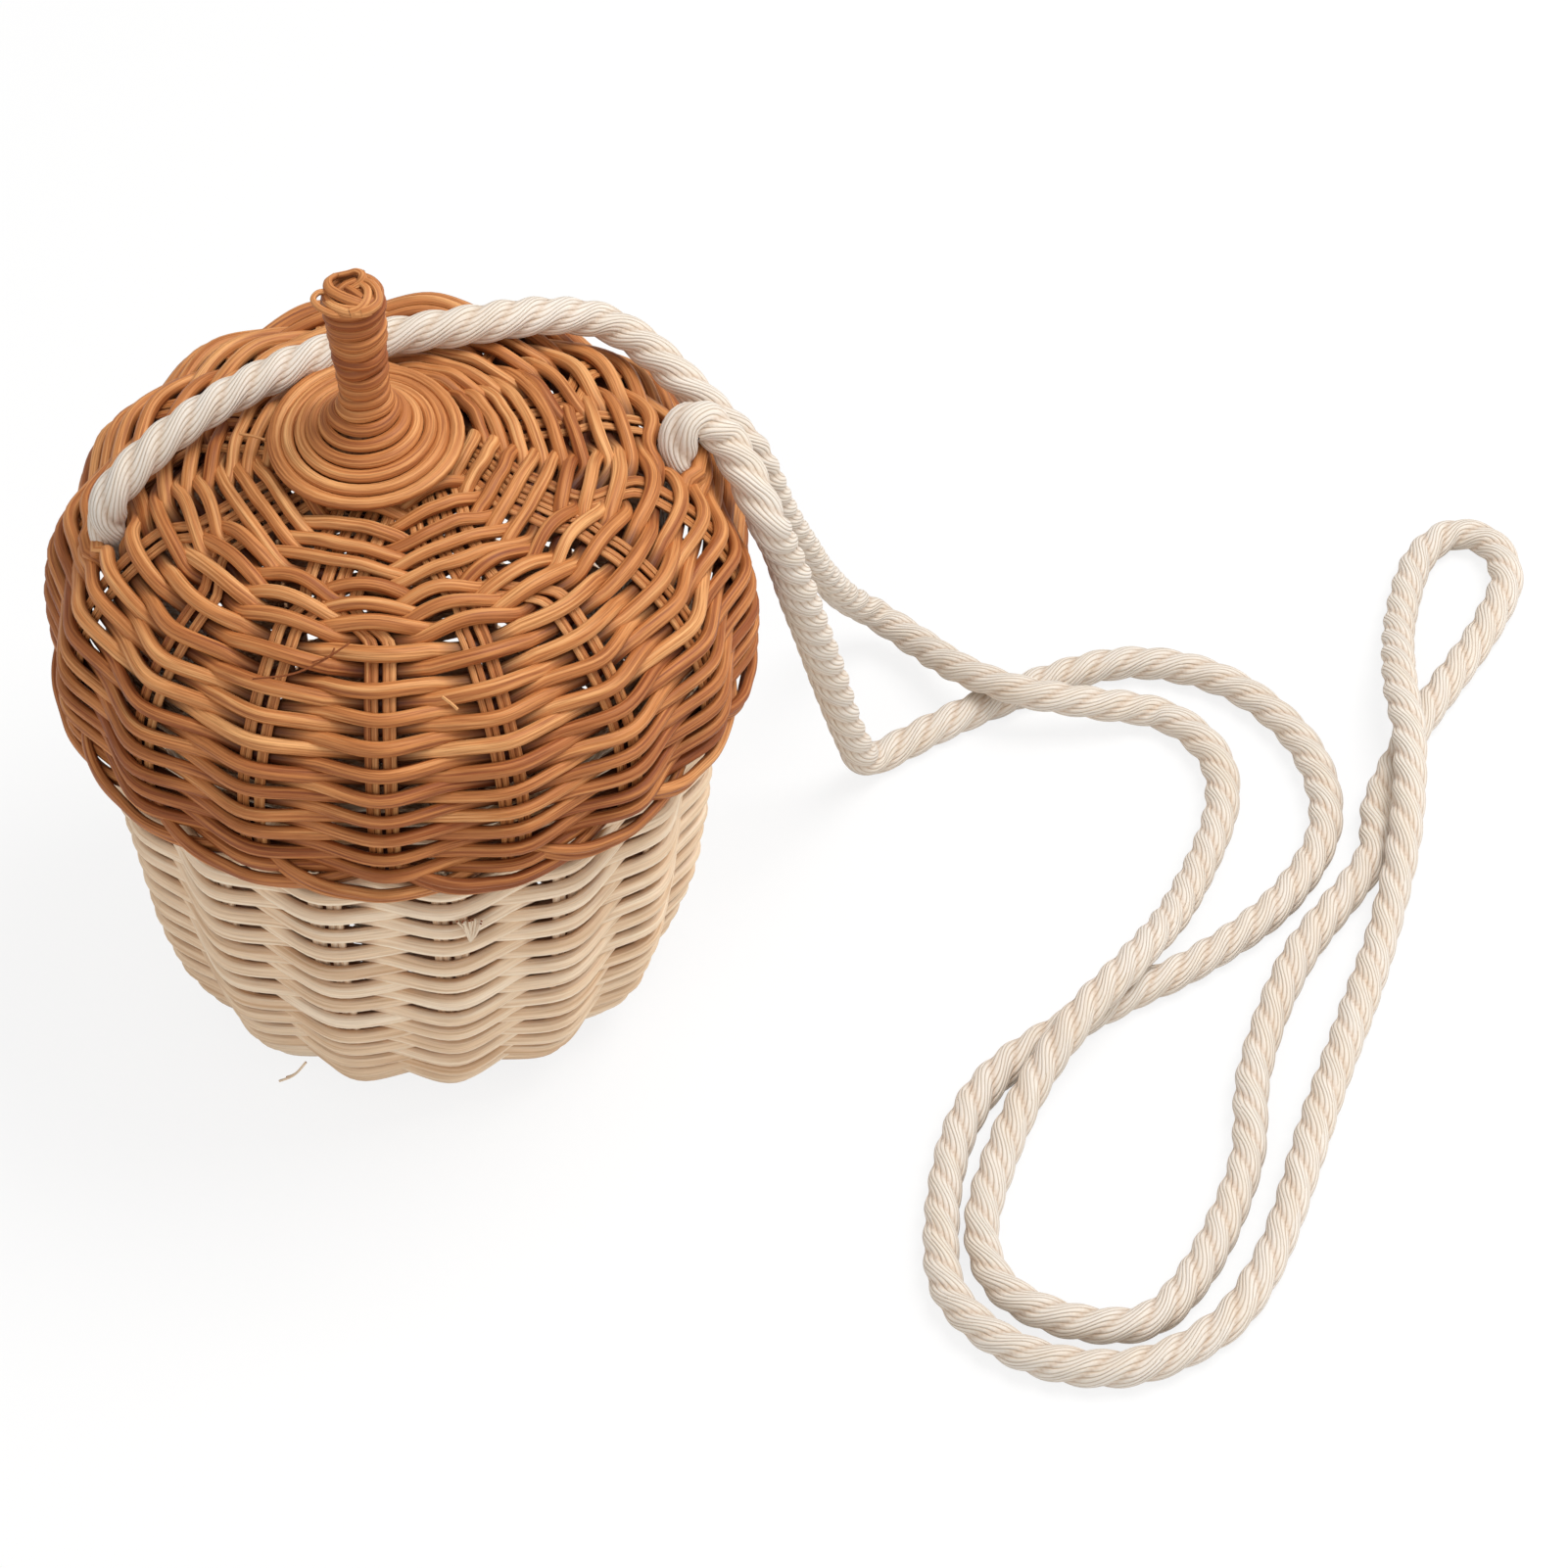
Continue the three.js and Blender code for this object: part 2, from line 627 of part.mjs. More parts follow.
const routeOnGround = [
  [77.5, 31, 104], [82.5, 44, 80], [89, 68, 45], [94.5, 85, 21.5], [101.5, 91.5, 10], [110, 86, 7.5],
  [121, 72.3, 11], [134.5, 64, 12.2], [150, 63.5, 9], [167, 64.5, 4], [178, 53, 4], [180, 37.5, 4],
  [168.5, 2.5, 7], [156.5, -19.5, 12], [143.5, -36, 10.8], [134, -50, 6.5], [125.5, -71, 4],
  [121.5, -91, 4], [126, -105, 4], [140, -113.5, 4], [155, -113.5, 4], [165, -103, 4], [178.5, -71, 4],
  [182, -45, 4], [193.5, -12, 4], [213, 20, 4], [215.5, 35.5, 4], [225, 58, 4], [246.5, 95.5, 4],
  [252, 111, 4], [249, 122.5, 4], [241, 125.5, 4], [233, 119, 4], [225.5, 96, 5], [222.5, 68.5, 11],
  [223, 49, 12.2], [220, 22, 10.5], [213.5, -3.5, 4.5], [196.5, -53.5, 4], [181, -99, 4],
  [170, -115.5, 4], [151, -125.5, 4], [130, -122, 4], [115, -107, 4], [113.2, -86, 4], [118.4, -59.5, 4],
  [127.6, -44, 4], [155.5, -22.5, 4], [169.7, -14, 4], [191.5, 6, 4], [203, 30, 4], [199.5, 55, 4],
  [182.5, 75.5, 4], [160, 81.5, 4], [131, 70, 4], [105, 53, 4], [99, 48, 6], [95, 41, 20.5],
  [89, 29.5, 53.5],
];
const routeAtRightHole = [
  [82.3, 15, 92], [79, 9.4, 109.5], [76.4, 4.8, 121], [73.3, 7.8, 127.5], [70.6, 11.7, 131.3],
  [67.2, 14.8, 135.6], [62.8, 14.6, 141], [58.6, 12.6, 142], [57.4, 10.8, 135.5], [57, 10.3, 125],
];
const routeInRight = [[52.5, 9.5, 115], [47, 8.3, 106], [44.9, 8.2, 100], [44.9, 8.2, 96.7]];
const routeParts = [routeInLeft, routeOverLid, routeOnGround, routeAtRightHole, routeInRight];
const strapRoute = routeParts.flat().map(([x, y, z]) => new THREE.Vector3(x, y, z));

const strapRadius = strapDiameter / 2;
const strapCurve = new THREE.CatmullRomCurve3(strapRoute, false, 'centripetal');
strapCurve.arcLengthDivisions = 40 * strapRoute.length;
const strapLength = strapCurve.getLength();

// A stretch of the strap between two places in the list of route points. Its
// steps follow the points, which lie closer together in the bends.
class StrapStretch extends THREE.Curve {
  constructor(from, to) {
    super();
    this.from = from;
    this.to = to;
  }

  getPoint(t, target = new THREE.Vector3()) {
    const place = this.from + t * (this.to - this.from);
    strapCurve.getPoint(place / (strapRoute.length - 1), target);
    target.z = Math.max(target.z, strapRadius);
    return target;
  }

  getUtoTmapping(u) {
    return u;
  }
}

function strapStretch(name, from, to) {
  const whole = new StrapStretch(from, to);
  const gapShare = (fitGap * 0.75) / (to - from);
  const startShare = gapShare / whole.getPoint(0).distanceTo(whole.getPoint(1 / (to - from)));
  const endShare = gapShare / whole.getPoint(1).distanceTo(whole.getPoint(1 - 1 / (to - from)));
  const path = new StrapStretch(from + startShare * (to - from), to - endShare * (to - from));
  const steps = Math.ceil((to - from) * strapStepsPerPoint);
  place(name, tube(path, steps, strapRadius, strapSides), cotton);
}

const strapNames = [
  'strap_end_left', 'strap_over_lid', 'strap_on_ground', 'strap_at_right_hole', 'strap_end_right',
];
let firstPoint = 0;
strapNames.forEach((name, i) => {
  const lastPoint = Math.min(firstPoint + routeParts[i].length, strapRoute.length - 1);
  strapStretch(name, firstPoint, lastPoint);
  firstPoint = lastPoint;
});
console.log(`strap: ${strapLength.toFixed(0)} mm between its knots`);

// Knots inside the cup: the end of the rope makes round turns
function strapKnot(angleDegrees) {
  const top = neckTop - strapKnotDrop;
  const waist = strapKnotRadius - strapKnotGroove;
  const outline = [[0, top - strapKnotTurns * strapKnotTurnHeight]];
  for (let i = strapKnotTurns; i > 0; i -= 1) {
    const low = top - i * strapKnotTurnHeight;
    outline.push([waist, low + 0.05 * strapKnotTurnHeight]);
    outline.push([strapKnotRadius, low + 0.35 * strapKnotTurnHeight]);
    outline.push([strapKnotRadius, low + 0.65 * strapKnotTurnHeight]);
  }
  outline.push([waist, top], [0, top]);
  const p = pointAt(strapKnotDistance, 0, radians(angleDegrees));
  return lathe(outline, 12).translate(p.x, p.y, 0);
}
place('strap_knot_left', strapKnot(strapHoleTurn - 180), cotton);
place('strap_knot_right', strapKnot(strapHoleTurn), cotton);

export default basket;
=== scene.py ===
# Looks of an acorn-shaped basket: a woven rattan cup, a stained domed lid with
# a cane-wound stalk, and one long three-strand cotton strap. Metres, +Z up, in
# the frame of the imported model.
import math

import bpy
import numpy as np
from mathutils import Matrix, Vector


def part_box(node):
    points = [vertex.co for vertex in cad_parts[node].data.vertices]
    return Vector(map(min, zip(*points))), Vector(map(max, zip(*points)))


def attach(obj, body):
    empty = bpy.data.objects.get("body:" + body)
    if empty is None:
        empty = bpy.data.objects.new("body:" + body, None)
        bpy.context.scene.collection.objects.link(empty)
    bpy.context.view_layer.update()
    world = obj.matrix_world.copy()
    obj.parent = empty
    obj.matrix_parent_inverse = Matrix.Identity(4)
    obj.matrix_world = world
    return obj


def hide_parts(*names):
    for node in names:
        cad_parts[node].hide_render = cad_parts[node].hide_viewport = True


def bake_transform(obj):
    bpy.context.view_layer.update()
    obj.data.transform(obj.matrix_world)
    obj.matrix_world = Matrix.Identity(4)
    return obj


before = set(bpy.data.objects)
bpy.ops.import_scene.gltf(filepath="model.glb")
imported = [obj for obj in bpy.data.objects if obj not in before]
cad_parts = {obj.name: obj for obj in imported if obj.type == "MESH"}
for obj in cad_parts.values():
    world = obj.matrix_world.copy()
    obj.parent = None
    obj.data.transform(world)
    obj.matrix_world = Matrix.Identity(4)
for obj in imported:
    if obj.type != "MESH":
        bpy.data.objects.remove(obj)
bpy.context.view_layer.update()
rng = np.random.default_rng(11)
TAU = 2 * math.pi
MM = 0.001

WORLD_LIGHT = 0.5
FLOOR_REACH = 6.0
FLOOR_GLOW = 1.02
FLOOR_GLOW_SHARE = 0.82
LAMP_TARGET = (0.06, 0.0, 0.05)

# Camera at the photograph's viewing angle: it looks along +Y and down
CAMERA_ELEVATION = math.radians(46)
CAMERA_DISTANCE = 1.184
CAMERA_TARGET = (0.0798, 0.0459, 0.0)
FOCAL_LENGTH = 118.07
SENSOR_WIDTH = 36.0

# Stakes and weavers shared by the cup and the lid
CAP_ROUNDNESS = 0.3
PROFILE_EVENING = 8
STAKE_COUNT = 16
CROSS_RADIUS = 0.0172
CROSS_LAYER = 2.1
CROSS_GROUP_GAP = 0.0004
STAKES_FROM = CROSS_RADIUS + 0.0002
# The rods of a group: pitch over half thickness, and depth and breadth of their section
ROD_PITCH = 1.62
ROD_FLATNESS = 0.62
ROD_BREADTH = 0.93
# A row's two strands close up by this share of its pitch on the stakes
CLOSE_UP = 0.14
CORNER_ROUNDNESS = 0.22
# The rods of a border's fold: their pitch, and over how many bays they spread out
FOLD_PITCH = 2.0425
FOLD_OPENING = 0.4
FOLD_BESIDE = 0.012
# Unevenness of rows, strands, rods and folds
ROW_DRIFT = 0.00018
STRAND_RISE = 0.00016
STRAND_DEPTH = 0.00014
STRAND_GIRTH = 0.03
SIZE_SPREAD = 0.04
ROD_SPREAD = 0.00008
FOLD_SPREAD = 0.0001
FOLD_SIZE_SPREAD = 0.05

# Cup
CUP_RADIUS = 0.0663
CUP_FOOT_RADIUS = 0.0315
CUP_SHOULDER_HEIGHT = 0.0885
CUP_SHOULDER_WIDTH = 0.0053
CUP_FULLNESS = 0.77
CUP_FOOT_SOFTNESS = 1.26
CUP_CURVE_HEIGHT = 0.0928
CUP_STAKE_TURN = math.radians(10.25)
CUP_STAKE_DRIFT = math.radians(3.5)
CUP_WEAVER = (0.00150, 0.00180)
CUP_ROD = 0.00098
CUP_GROUP_GAP = 0.0004
CUP_ROWS = 18
CUP_ROW_PITCH = 0.0061
CUP_ROW_SPREAD = 0.0001
CUP_BORDER_ROD = 0.00115
NECK_WEAVER = (0.00135, 0.00150)
NECK_ROW_HEIGHTS = (0.0918, 0.0961)
NECK_ROW_PITCH = 0.0052
NECK_TOP = 0.1049
NECK_FILLET = 0.003
# A border's fold, in bays, in mm from the edge, and in depth from stake (0) to front (1)
CUP_BORDER_PATH = (
    (0.0, 12.5, 0.0), (0.06, 9.6, 0.15), (0.42, 6.9, 0.8), (1.0, 5.4, 1.28), (1.5, 4.2, 0.8),
    (1.95, 3.1, -0.1), (2.35, 2.6, -0.35),
)

# Lid
LID_RIM_HEIGHT = 0.0888
LID_RIM_RADIUS = 0.071
LID_RADIUS = 0.075
LID_WIDEST_HEIGHT = 0.0138
LID_HEIGHT = 0.0626
LID_SHOULDER = 0.78
LID_CROWN = 0.87
LID_STAKE_DRIFT = math.radians(2.25)
LID_WEAVER = 0.00142
LID_WEAVER_MOST = 0.00166
LID_ROD = 0.00078
LID_GROUP_GAP = 0.00055
LID_STAKES_TO = 0.006
LID_BORDER_ROD = 0.00118
LID_ROWS_MM = (
    8.9, 14.2, 19.5, 24.7, 30.1, 35.4, 41.3, 47.3, 53.4, 60.9, 67.7, 73.2, 78.4,
)
LID_PAIR_ROWS_MM = (81.8, 86.2, 90.5, 94.7, 98.6)
LID_PAIR_WEAVER = (0.00136, 0.00142)
LID_PAIR_PITCH = 0.0041
LID_PAIR_ROD = 0.0004
# A lid row's corner, bend and painted shade (a darker tint towards the rim) by its place along
# the profile, and its strands' thickness and how far it has settled as shares of its pitch
LID_CORNERS = ((0.047, 0.062, 0.0735), (1, 0, -2))
LID_BENDS = ((0.045, 0.066), (0.24, 0.34))
LID_SHADE_TINTS = ((0.008, 0.04), (-0.75, -0.1))
LID_WEAVER_SHARE = 0.268
LID_WEAVER_SECTION = (0.93, 1.03)
LID_ROW_SETTLE = 0.18
# The weave's turn and shift near the crown: none beyond the outer radius, whole within the
# inner one, and fading away again close to the cross
CROWN_TURN = math.radians(-5)
CROWN_FORWARD = 0.0035
CROWN_SHIFT_OUTER = 0.052
CROWN_SHIFT_INNER = 0.036
CROSS_FADE = 0.009
# Pairs of stake groups are drawn together: half their distance, and the radii where that is
# whole and where it begins
PAIR_CLOSE = 0.0036
PAIR_INNER = 0.0405
PAIR_OUTER = 0.052
LID_BORDER_PATH = (
    (0.0, 13.0, 0.0), (0.05, 9.6, 0.15), (0.22, 7.4, 0.75), (0.5, 4.6, 1.2), (0.75, 3.0, 1.25),
    (1.0, 2.4, 1.3), (1.4, 2.8, 0.9), (1.8, 4.0, 0.1), (2.15, 4.6, -0.3),
)

# Stalk, in its own leaning frame on the crown
CANE_HALF_WIDTH = 0.00145
CANE_HALF_THICKNESS = 0.00116
CANE_PITCH = 0.00272
CANE_STEPS = 44
CANE_START = math.radians(150)
# How deep the cane's middle line lies, how unevenly it lies, and how its girth varies
CANE_INSET = 0.0011
CANE_LOOSE = 0.00024
CANE_GIRTH = 0.07
# How far its first end is tucked in and down, and how far the disc's front sags
CANE_TUCK = (0.0030, 0.0016)
DISC_SAG = (0.002, 0.0028)
DISC_RADIUS = 0.0212
STALK_FOOT_RADIUS = 0.0051
STALK_TOP_RADIUS = 0.0065
STALK_FLARE_HEIGHT = 0.0125
STALK_HEIGHT = 0.036
STALK_BASE = (-0.004, -0.003, 0.153)
STALK_LEAN = math.radians(2)
ROSETTE_LIFT = 0.0003
BINDING_TURNS = 4
# The folded end of the cane on top: points and half widths in mm
ROSETTE_BANDS = (
    (((-3.5, 3.4, 2.3), (-4.7, 1.5, 2.6), (-4.3, -0.8, 2.6), (-2.3, -2.6, 2.4), (0, -3.6, 1.9),
      (2.2, -3.9, 1)), 1.15),
    (((-3.8, 3.6, 2), (-1.1, 3.9, 2.4), (0.9, 3.8, 3), (2.1, 2.7, 3), (1.6, 1.4, 2),
      (-0.4, 0.4, 1.2)), 0.9),
    (((2.2, 2.5, 2), (4.2, 0.7, 2.1), (5.3, -1.4, 1.6), (5.3, -3.2, 0.9), (4, -4.8, 0.6),
      (2, -5.7, 0.4)), 0.95),
    (((1.9, 1.6, 1.8), (3.3, -1, 2), (3.1, -3.5, 1.4), (1.8, -5.2, 0.8), (-0.2, -5.9, 0.5)), 0.95),
    (((-3.2, 0, 1), (-1.4, 1.6, 1.5), (0.8, 2.6, 1.8)), 1),
    (((-1.6, 1.4, 0.9), (-0.1, -0.4, 1.6), (2.3, -2.6, 1.3)), 1),
    (((-3.4, -2, 0.8), (-0.6, -0.6, 1), (2.6, 0.2, 0.9)), 1),
    (((-1.2, -4.6, -0.6), (-2.9, -5.7, 0), (-5, -5, 0.4), (-6.8, -3.6, 0.8), (-7.5, -2.2, 1.3),
      (-6.7, -1, 1.7), (-5, -0.3, 1.5)), 0.7),
    (((-5.4, -1.8, 0.2), (-3.7, -4.4, 0.9), (-0.6, -5.7, 0.5), (2.6, -5.4, 0), (4.2, -3.4, -0.8)),
     0.9),
)

# Splinters that stand off the weave: points in mm, half thickness and tint
LID_FIBRES = (
    (((-25, -57.2, 136.6), (-16.9, -57.6, 138.4), (-11.2, -56.1, 140.4), (-5.8, -53.2, 142.6)),
     0.00022, -0.8),
    (((-13, -56.6, 140.6), (-9.4, -55.6, 141.6), (-8.6, -54.6, 142.6)), 0.0002, -0.6),
    (((12.6, -61.6, 136), (14.2, -62.4, 135.1), (15.6, -63.1, 134)), 0.00032, 1.8),
    (((-30.5, -1.5, 151.2), (-27.5, -3, 151.9), (-25, -3.6, 151.4)), 0.0003, 1.4),
)
CUP_FIBRES = (
    (((-22.3, -56, 20), (-24.3, -57.5, 18.3), (-25.6, -58.1, 17.6), (-28.1, -58.8, 17)),
     0.00028, 1),
    (((-24.6, -57.6, 18.2), (-25.4, -58, 18), (-26.4, -58.8, 18.4)), 0.0002, 1),
)
TUFT_FOOT = (15.3, -65.0, 68.2)

# Strap: three strands, laid to the left
STRAP_RADIUS = 0.004
STRAP_LAY = 0.0235
STRAP_STEP = 0.0008
STRAP_SIDES = 54
STRAP_YARNS = 23
STRAP_YARN_SHARE = 0.42
STRAP_CLEARANCE = 0.0002
KNOT_TURNS = 2.6
KNOT_RADIUS = 0.0036
KNOT_DROP = 0.0042
KNOT_HEIGHT = 0.0085
# Places along the rope and how much thicker it is there
STRAP_THICKNESS = (
    (0.0, 0.08, 0.2, 0.24, 0.34, 0.42, 1.55, 1.63, 1.725, 1.75),
    (0.0, 0.03, 0.03, -0.08, -0.08, 0.0, 0.0, 0.08, 0.11, 0.0),
)
# Where the strap first and last rises above this height, it is cut into its two ends and its middle
STRAP_INSIDE = 0.125
STRAP_HOLES = ((-0.0576, -0.0109), (0.0576, 0.0109))
# The strap's middle line from knot to knot, in mm
ROUTE_IN_LEFT = (
    (-44.9, -8.5, 96.7), (-44.9, -8.5, 100), (-47, -9, 106), (-52.5, -10.2, 115),
)
ROUTE_OVER_LID = (
    (-57, -10.8, 125), (-57.9, -11, 134), (-56.8, -10.8, 142), (-46, -2.6, 150.3),
    (-28, 10.6, 154.4), (-8, 21.4, 155.2), (14, 29.4, 153.4), (31, 38.8, 148), (41, 42.4, 143.5),
    (49, 39.5, 140.6), (58, 31.2, 137.4), (66, 25.4, 132), (72, 24.4, 125), (75.4, 26.5, 115),
)
ROUTE_ON_GROUND = (
    (77.5, 31, 104), (82.5, 44, 80), (89, 68, 45), (94.5, 85, 21.5), (101.5, 91.5, 10),
    (110, 86, 7.5), (121, 72.3, 11), (134.5, 64, 12.2), (150, 63.5, 9), (167, 64.5, 4),
    (178, 53, 4), (180, 37.5, 4), (168.5, 2.5, 7), (156.5, -19.5, 12), (143.5, -36, 10.8),
    (134, -50, 6.5), (125.5, -71, 4), (121.5, -91, 4), (126, -105, 4), (140, -113.5, 4),
    (155, -113.5, 4), (165, -103, 4), (178.5, -71, 4), (182, -45, 4), (193.5, -12, 4),
    (213, 20, 4), (215.5, 35.5, 4), (225, 58, 4), (246.5, 95.5, 4), (252, 111, 4),
    (249, 122.5, 4), (241, 125.5, 4), (233, 119, 4), (225.5, 96, 5), (222.5, 68.5, 11),
    (223, 49, 12.2), (220, 22, 10.5), (213.5, -3.5, 4.5), (196.5, -53.5, 4), (181, -99, 4),
    (170, -115.5, 4), (151, -125.5, 4), (130, -122, 4), (115, -107, 4), (113.2, -86, 4),
    (118.4, -59.5, 4), (127.6, -44, 4), (155.5, -22.5, 4), (169.7, -14, 4), (191.5, 6, 4),
    (203, 30, 4), (199.5, 55, 4), (182.5, 75.5, 4), (160, 81.5, 4), (131, 70, 4), (105, 53, 4),
    (99, 48, 6), (95, 41, 20.5), (89, 29.5, 53.5),
)
ROUTE_AT_RIGHT_HOLE = (
    (82.3, 15, 92), (79, 9.4, 109.5), (76.4, 4.8, 121), (73.3, 7.8, 127.5), (70.6, 11.7, 131.3),
    (67.2, 14.8, 135.6), (63.2, 14.7, 140.2), (60.4, 13.4, 141.2), (58.4, 12, 139.2),
    (57.4, 10.9, 134.5), (57, 10.3, 125),
)
ROUTE_IN_RIGHT = (
    (52.5, 9.5, 115), (47, 8.3, 106), (44.9, 8.2, 100), (44.9, 8.2, 96.7),
)


def make_camera():
    data = bpy.data.cameras.new("camera")
    data.lens = FOCAL_LENGTH
    data.sensor_width = SENSOR_WIDTH
    data.clip_end = 20
    camera = add_object("camera", data)
    away = Vector((0, -math.cos(CAMERA_ELEVATION), math.sin(CAMERA_ELEVATION)))
    camera.location = Vector(CAMERA_TARGET) + CAMERA_DISTANCE * away
    camera.rotation_euler = (math.pi / 2 - CAMERA_ELEVATION, 0, 0)
    bpy.context.scene.camera = camera


def add_object(name, data):
    thing = bpy.data.objects.new(name, data)
    bpy.context.scene.collection.objects.link(thing)
    return thing


# Small vector helpers on arrays of points

def polar(r, turn, z):
    """Points by radius, by turn from the front, and by height."""
    return np.stack([r * np.sin(turn), -r * np.cos(turn), z], axis=1)


def unit(vectors):
    return vectors / np.maximum(np.linalg.norm(vectors, axis=-1, keepdims=True), 1e-12)


def lengths_along(line):
    return np.concatenate([[0], np.cumsum(np.linalg.norm(np.diff(line, axis=0), axis=1))])


def directions(line, closed=False):
    if closed:
        return unit(np.roll(line, -1, axis=0) - np.roll(line, 1, axis=0))
    return unit(np.gradient(line, axis=0))


def smooth_curve(points, steps):
    """A centripetal Catmull-Rom curve through the points."""
    p = np.array(points, float)
    p = np.vstack([2 * p[0] - p[1], p, 2 * p[-1] - p[-2]])
    out = []
    for i in range(1, len(p) - 2):
        p0, p1, p2, p3 = p[i - 1:i + 3]
        t1 = np.linalg.norm(p1 - p0) ** 0.5
        t2 = t1 + np.linalg.norm(p2 - p1) ** 0.5
        t3 = t2 + np.linalg.norm(p3 - p2) ** 0.5
        t = np.linspace(t1, t2, steps, endpoint=False)[:, None]
        a1 = (t1 - t) / t1 * p0 + t / t1 * p1
        a2 = (t2 - t) / (t2 - t1) * p1 + (t - t1) / (t2 - t1) * p2
        a3 = (t3 - t) / (t3 - t2) * p2 + (t - t2) / (t3 - t2) * p3
        b1 = (t2 - t) / t2 * a1 + t / t2 * a2
        b2 = (t3 - t) / (t3 - t1) * a2 + (t - t1) / (t3 - t1) * a3
        out.append((t2 - t) / (t2 - t1) * b1 + (t - t1) / (t2 - t1) * b2)
    out.append(p[-2:-1])
    return np.vstack(out)


def even_steps(line, step):
    lengths = lengths_along(line)
    places = np.linspace(0, lengths[-1], max(2, round(lengths[-1] / step) + 1))
    return np.stack([np.interp(places, lengths, line[:, k]) for k in range(3)], axis=1)


def carried_normals(line):
    """Normals that are carried along a line without turning about it."""
    along = directions(line)
    normal = np.zeros_like(line)
    start = np.cross(along[0], (0.0, 1.0, 0.0))
    normal[0] = unit(start)
    for i in range(1, len(line)):
        n = normal[i - 1] - along[i] * np.dot(normal[i - 1], along[i])
        normal[i] = n / np.linalg.norm(n)
    return along, normal


def smooth_step(t):
    return t * t * (3 - 2 * t)


def wobble(phase, size, waves):
    """A smooth closed random wave over the phase, about as large as size."""
    out = np.zeros_like(phase)
    for k in range(1, waves + 1):
        out += np.sin(k * phase + rng.uniform(0, TAU)) * rng.normal() / math.sqrt(waves)
    return size * out


# Meshes made of many strands

def strand_wall(n, sides, u, v, closed=False):
    """Quads between n rings, and their map: u by ring, v by ring and place round it."""
    i, j = np.meshgrid(np.arange(n if closed else n - 1), np.arange(sides), indexing="ij")
    i, j = i.ravel(), j.ravel()
    i2, j2 = (i + 1) % n, (j + 1) % sides
    quads = np.stack([i * sides + j, i * sides + j2, i2 * sides + j2, i2 * sides + j], axis=1)
    corners = ((i, j), (i, j + 1), (i + 1, j + 1), (i + 1, j))
    maps = np.stack([np.stack([u[a], v[a, b]], axis=1) for a, b in corners], axis=1)
    return quads, maps


class StrandBatch:
    """Collects strands and joins them into one mesh with a map along each strand."""

    def __init__(self, sides=10):
        self.sides = sides
        self.points, self.tints, self.deeps = [], [], []
        self.faces = []
        self.count = 0

    def add(self, line, outward, half_out, half_side, deep=0.0, closed=False, tint=None):
        n, sides = len(line), self.sides
        along = directions(line, closed)
        normal = unit(outward - along * np.sum(outward * along, axis=1, keepdims=True))
        side = np.cross(along, normal)
        angles = (np.arange(sides) / sides * TAU - math.pi)[None, :, None]
        half_out, half_side = np.ones(n) * half_out, np.ones(n) * half_side
        ring = half_out[:, None, None] * np.cos(angles) * normal[:, None]
        ring = ring + half_side[:, None, None] * np.sin(angles) * side[:, None]
        points = (line[:, None] + ring).reshape(-1, 3)
        u = lengths_along(np.vstack([line, line[:1]]) if closed else line) + rng.uniform(0, 3)
        v = np.broadcast_to(np.arange(sides + 1) / sides, (len(u), sides + 1))
        quads, maps = strand_wall(n, sides, u, v, closed)
        self.faces.append((quads + self.count, maps))
        tint = rng.uniform() if tint is None else tint
        tints = np.repeat(np.ones(n) * tint, sides)
        deeps = np.repeat(np.ones(n) * deep, sides)
        if not closed:
            self.add_caps(n, u[0])
            points = np.vstack([points, line[0] - CAP_ROUNDNESS * half_out[0] * along[0],
                                line[-1] + CAP_ROUNDNESS * half_out[-1] * along[-1]])
            tints = np.concatenate([tints, tints[:1], tints[-1:]])
            deeps = np.concatenate([deeps, deeps[:1], deeps[-1:]])
        self.points.append(points)
        self.tints.append(tints)
        self.deeps.append(deeps)
        self.count += len(points)

    def add_caps(self, n, u):
        """Fans round the two end points, which follow the rings."""
        sides = self.sides
        k = np.arange(sides)
        k2 = (k + 1) % sides
        base = (n - 1) * sides
        first = np.stack([np.full(sides, n * sides), k2, k], axis=1)
        last = np.stack([np.full(sides, n * sides + 1), base + k, base + k2], axis=1)
        cap_map = np.full((sides, 3, 2), u)
        self.faces.append((first + self.count, cap_map))
        self.faces.append((last + self.count, cap_map + 0.01))

    def build(self, name, material):
        points = np.vstack(self.points)
        loops = np.concatenate([f.ravel() for f, _ in self.faces])
        sizes = np.concatenate([np.full(len(f), f.shape[1]) for f, _ in self.faces])
        maps = np.vstack([m.reshape(-1, 2) for _, m in self.faces])
        attributes = {"tint": np.concatenate(self.tints), "deep": np.concatenate(self.deeps)}
        return build_mesh(name, points, loops, sizes, maps, attributes, material)


def build_mesh(name, points, loops, sizes, maps, attributes, material):
    mesh = bpy.data.meshes.new(name)
    mesh.vertices.add(len(points))
    mesh.vertices.foreach_set("co", points.astype(np.float32).ravel())
    mesh.loops.add(len(loops))
    mesh.loops.foreach_set("vertex_index", loops.astype(np.int32))
    mesh.polygons.add(len(sizes))
    starts = np.concatenate([[0], np.cumsum(sizes)[:-1]])
    mesh.polygons.foreach_set("loop_start", starts.astype(np.int32))
    mesh.polygons.foreach_set("loop_total", sizes.astype(np.int32))
    mesh.update(calc_edges=True)
    layer = mesh.uv_layers.new(name="strand")
    layer.data.foreach_set("uv", maps.astype(np.float32).ravel())
    for key, values in attributes.items():
        attribute = mesh.attributes.new(key, "FLOAT", "POINT")
        attribute.data.foreach_set("value", values.astype(np.float32))
    mesh.polygons.foreach_set("use_smooth", np.ones(len(sizes), bool))
    mesh.update()
    piece = add_object(name, mesh)
    piece.data.materials.append(material)
    return piece


def finish_piece(piece, slot, body, *nodes):
    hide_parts(*nodes)
    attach(piece, body)


# Profiles of the two woven shells, read by the length along them

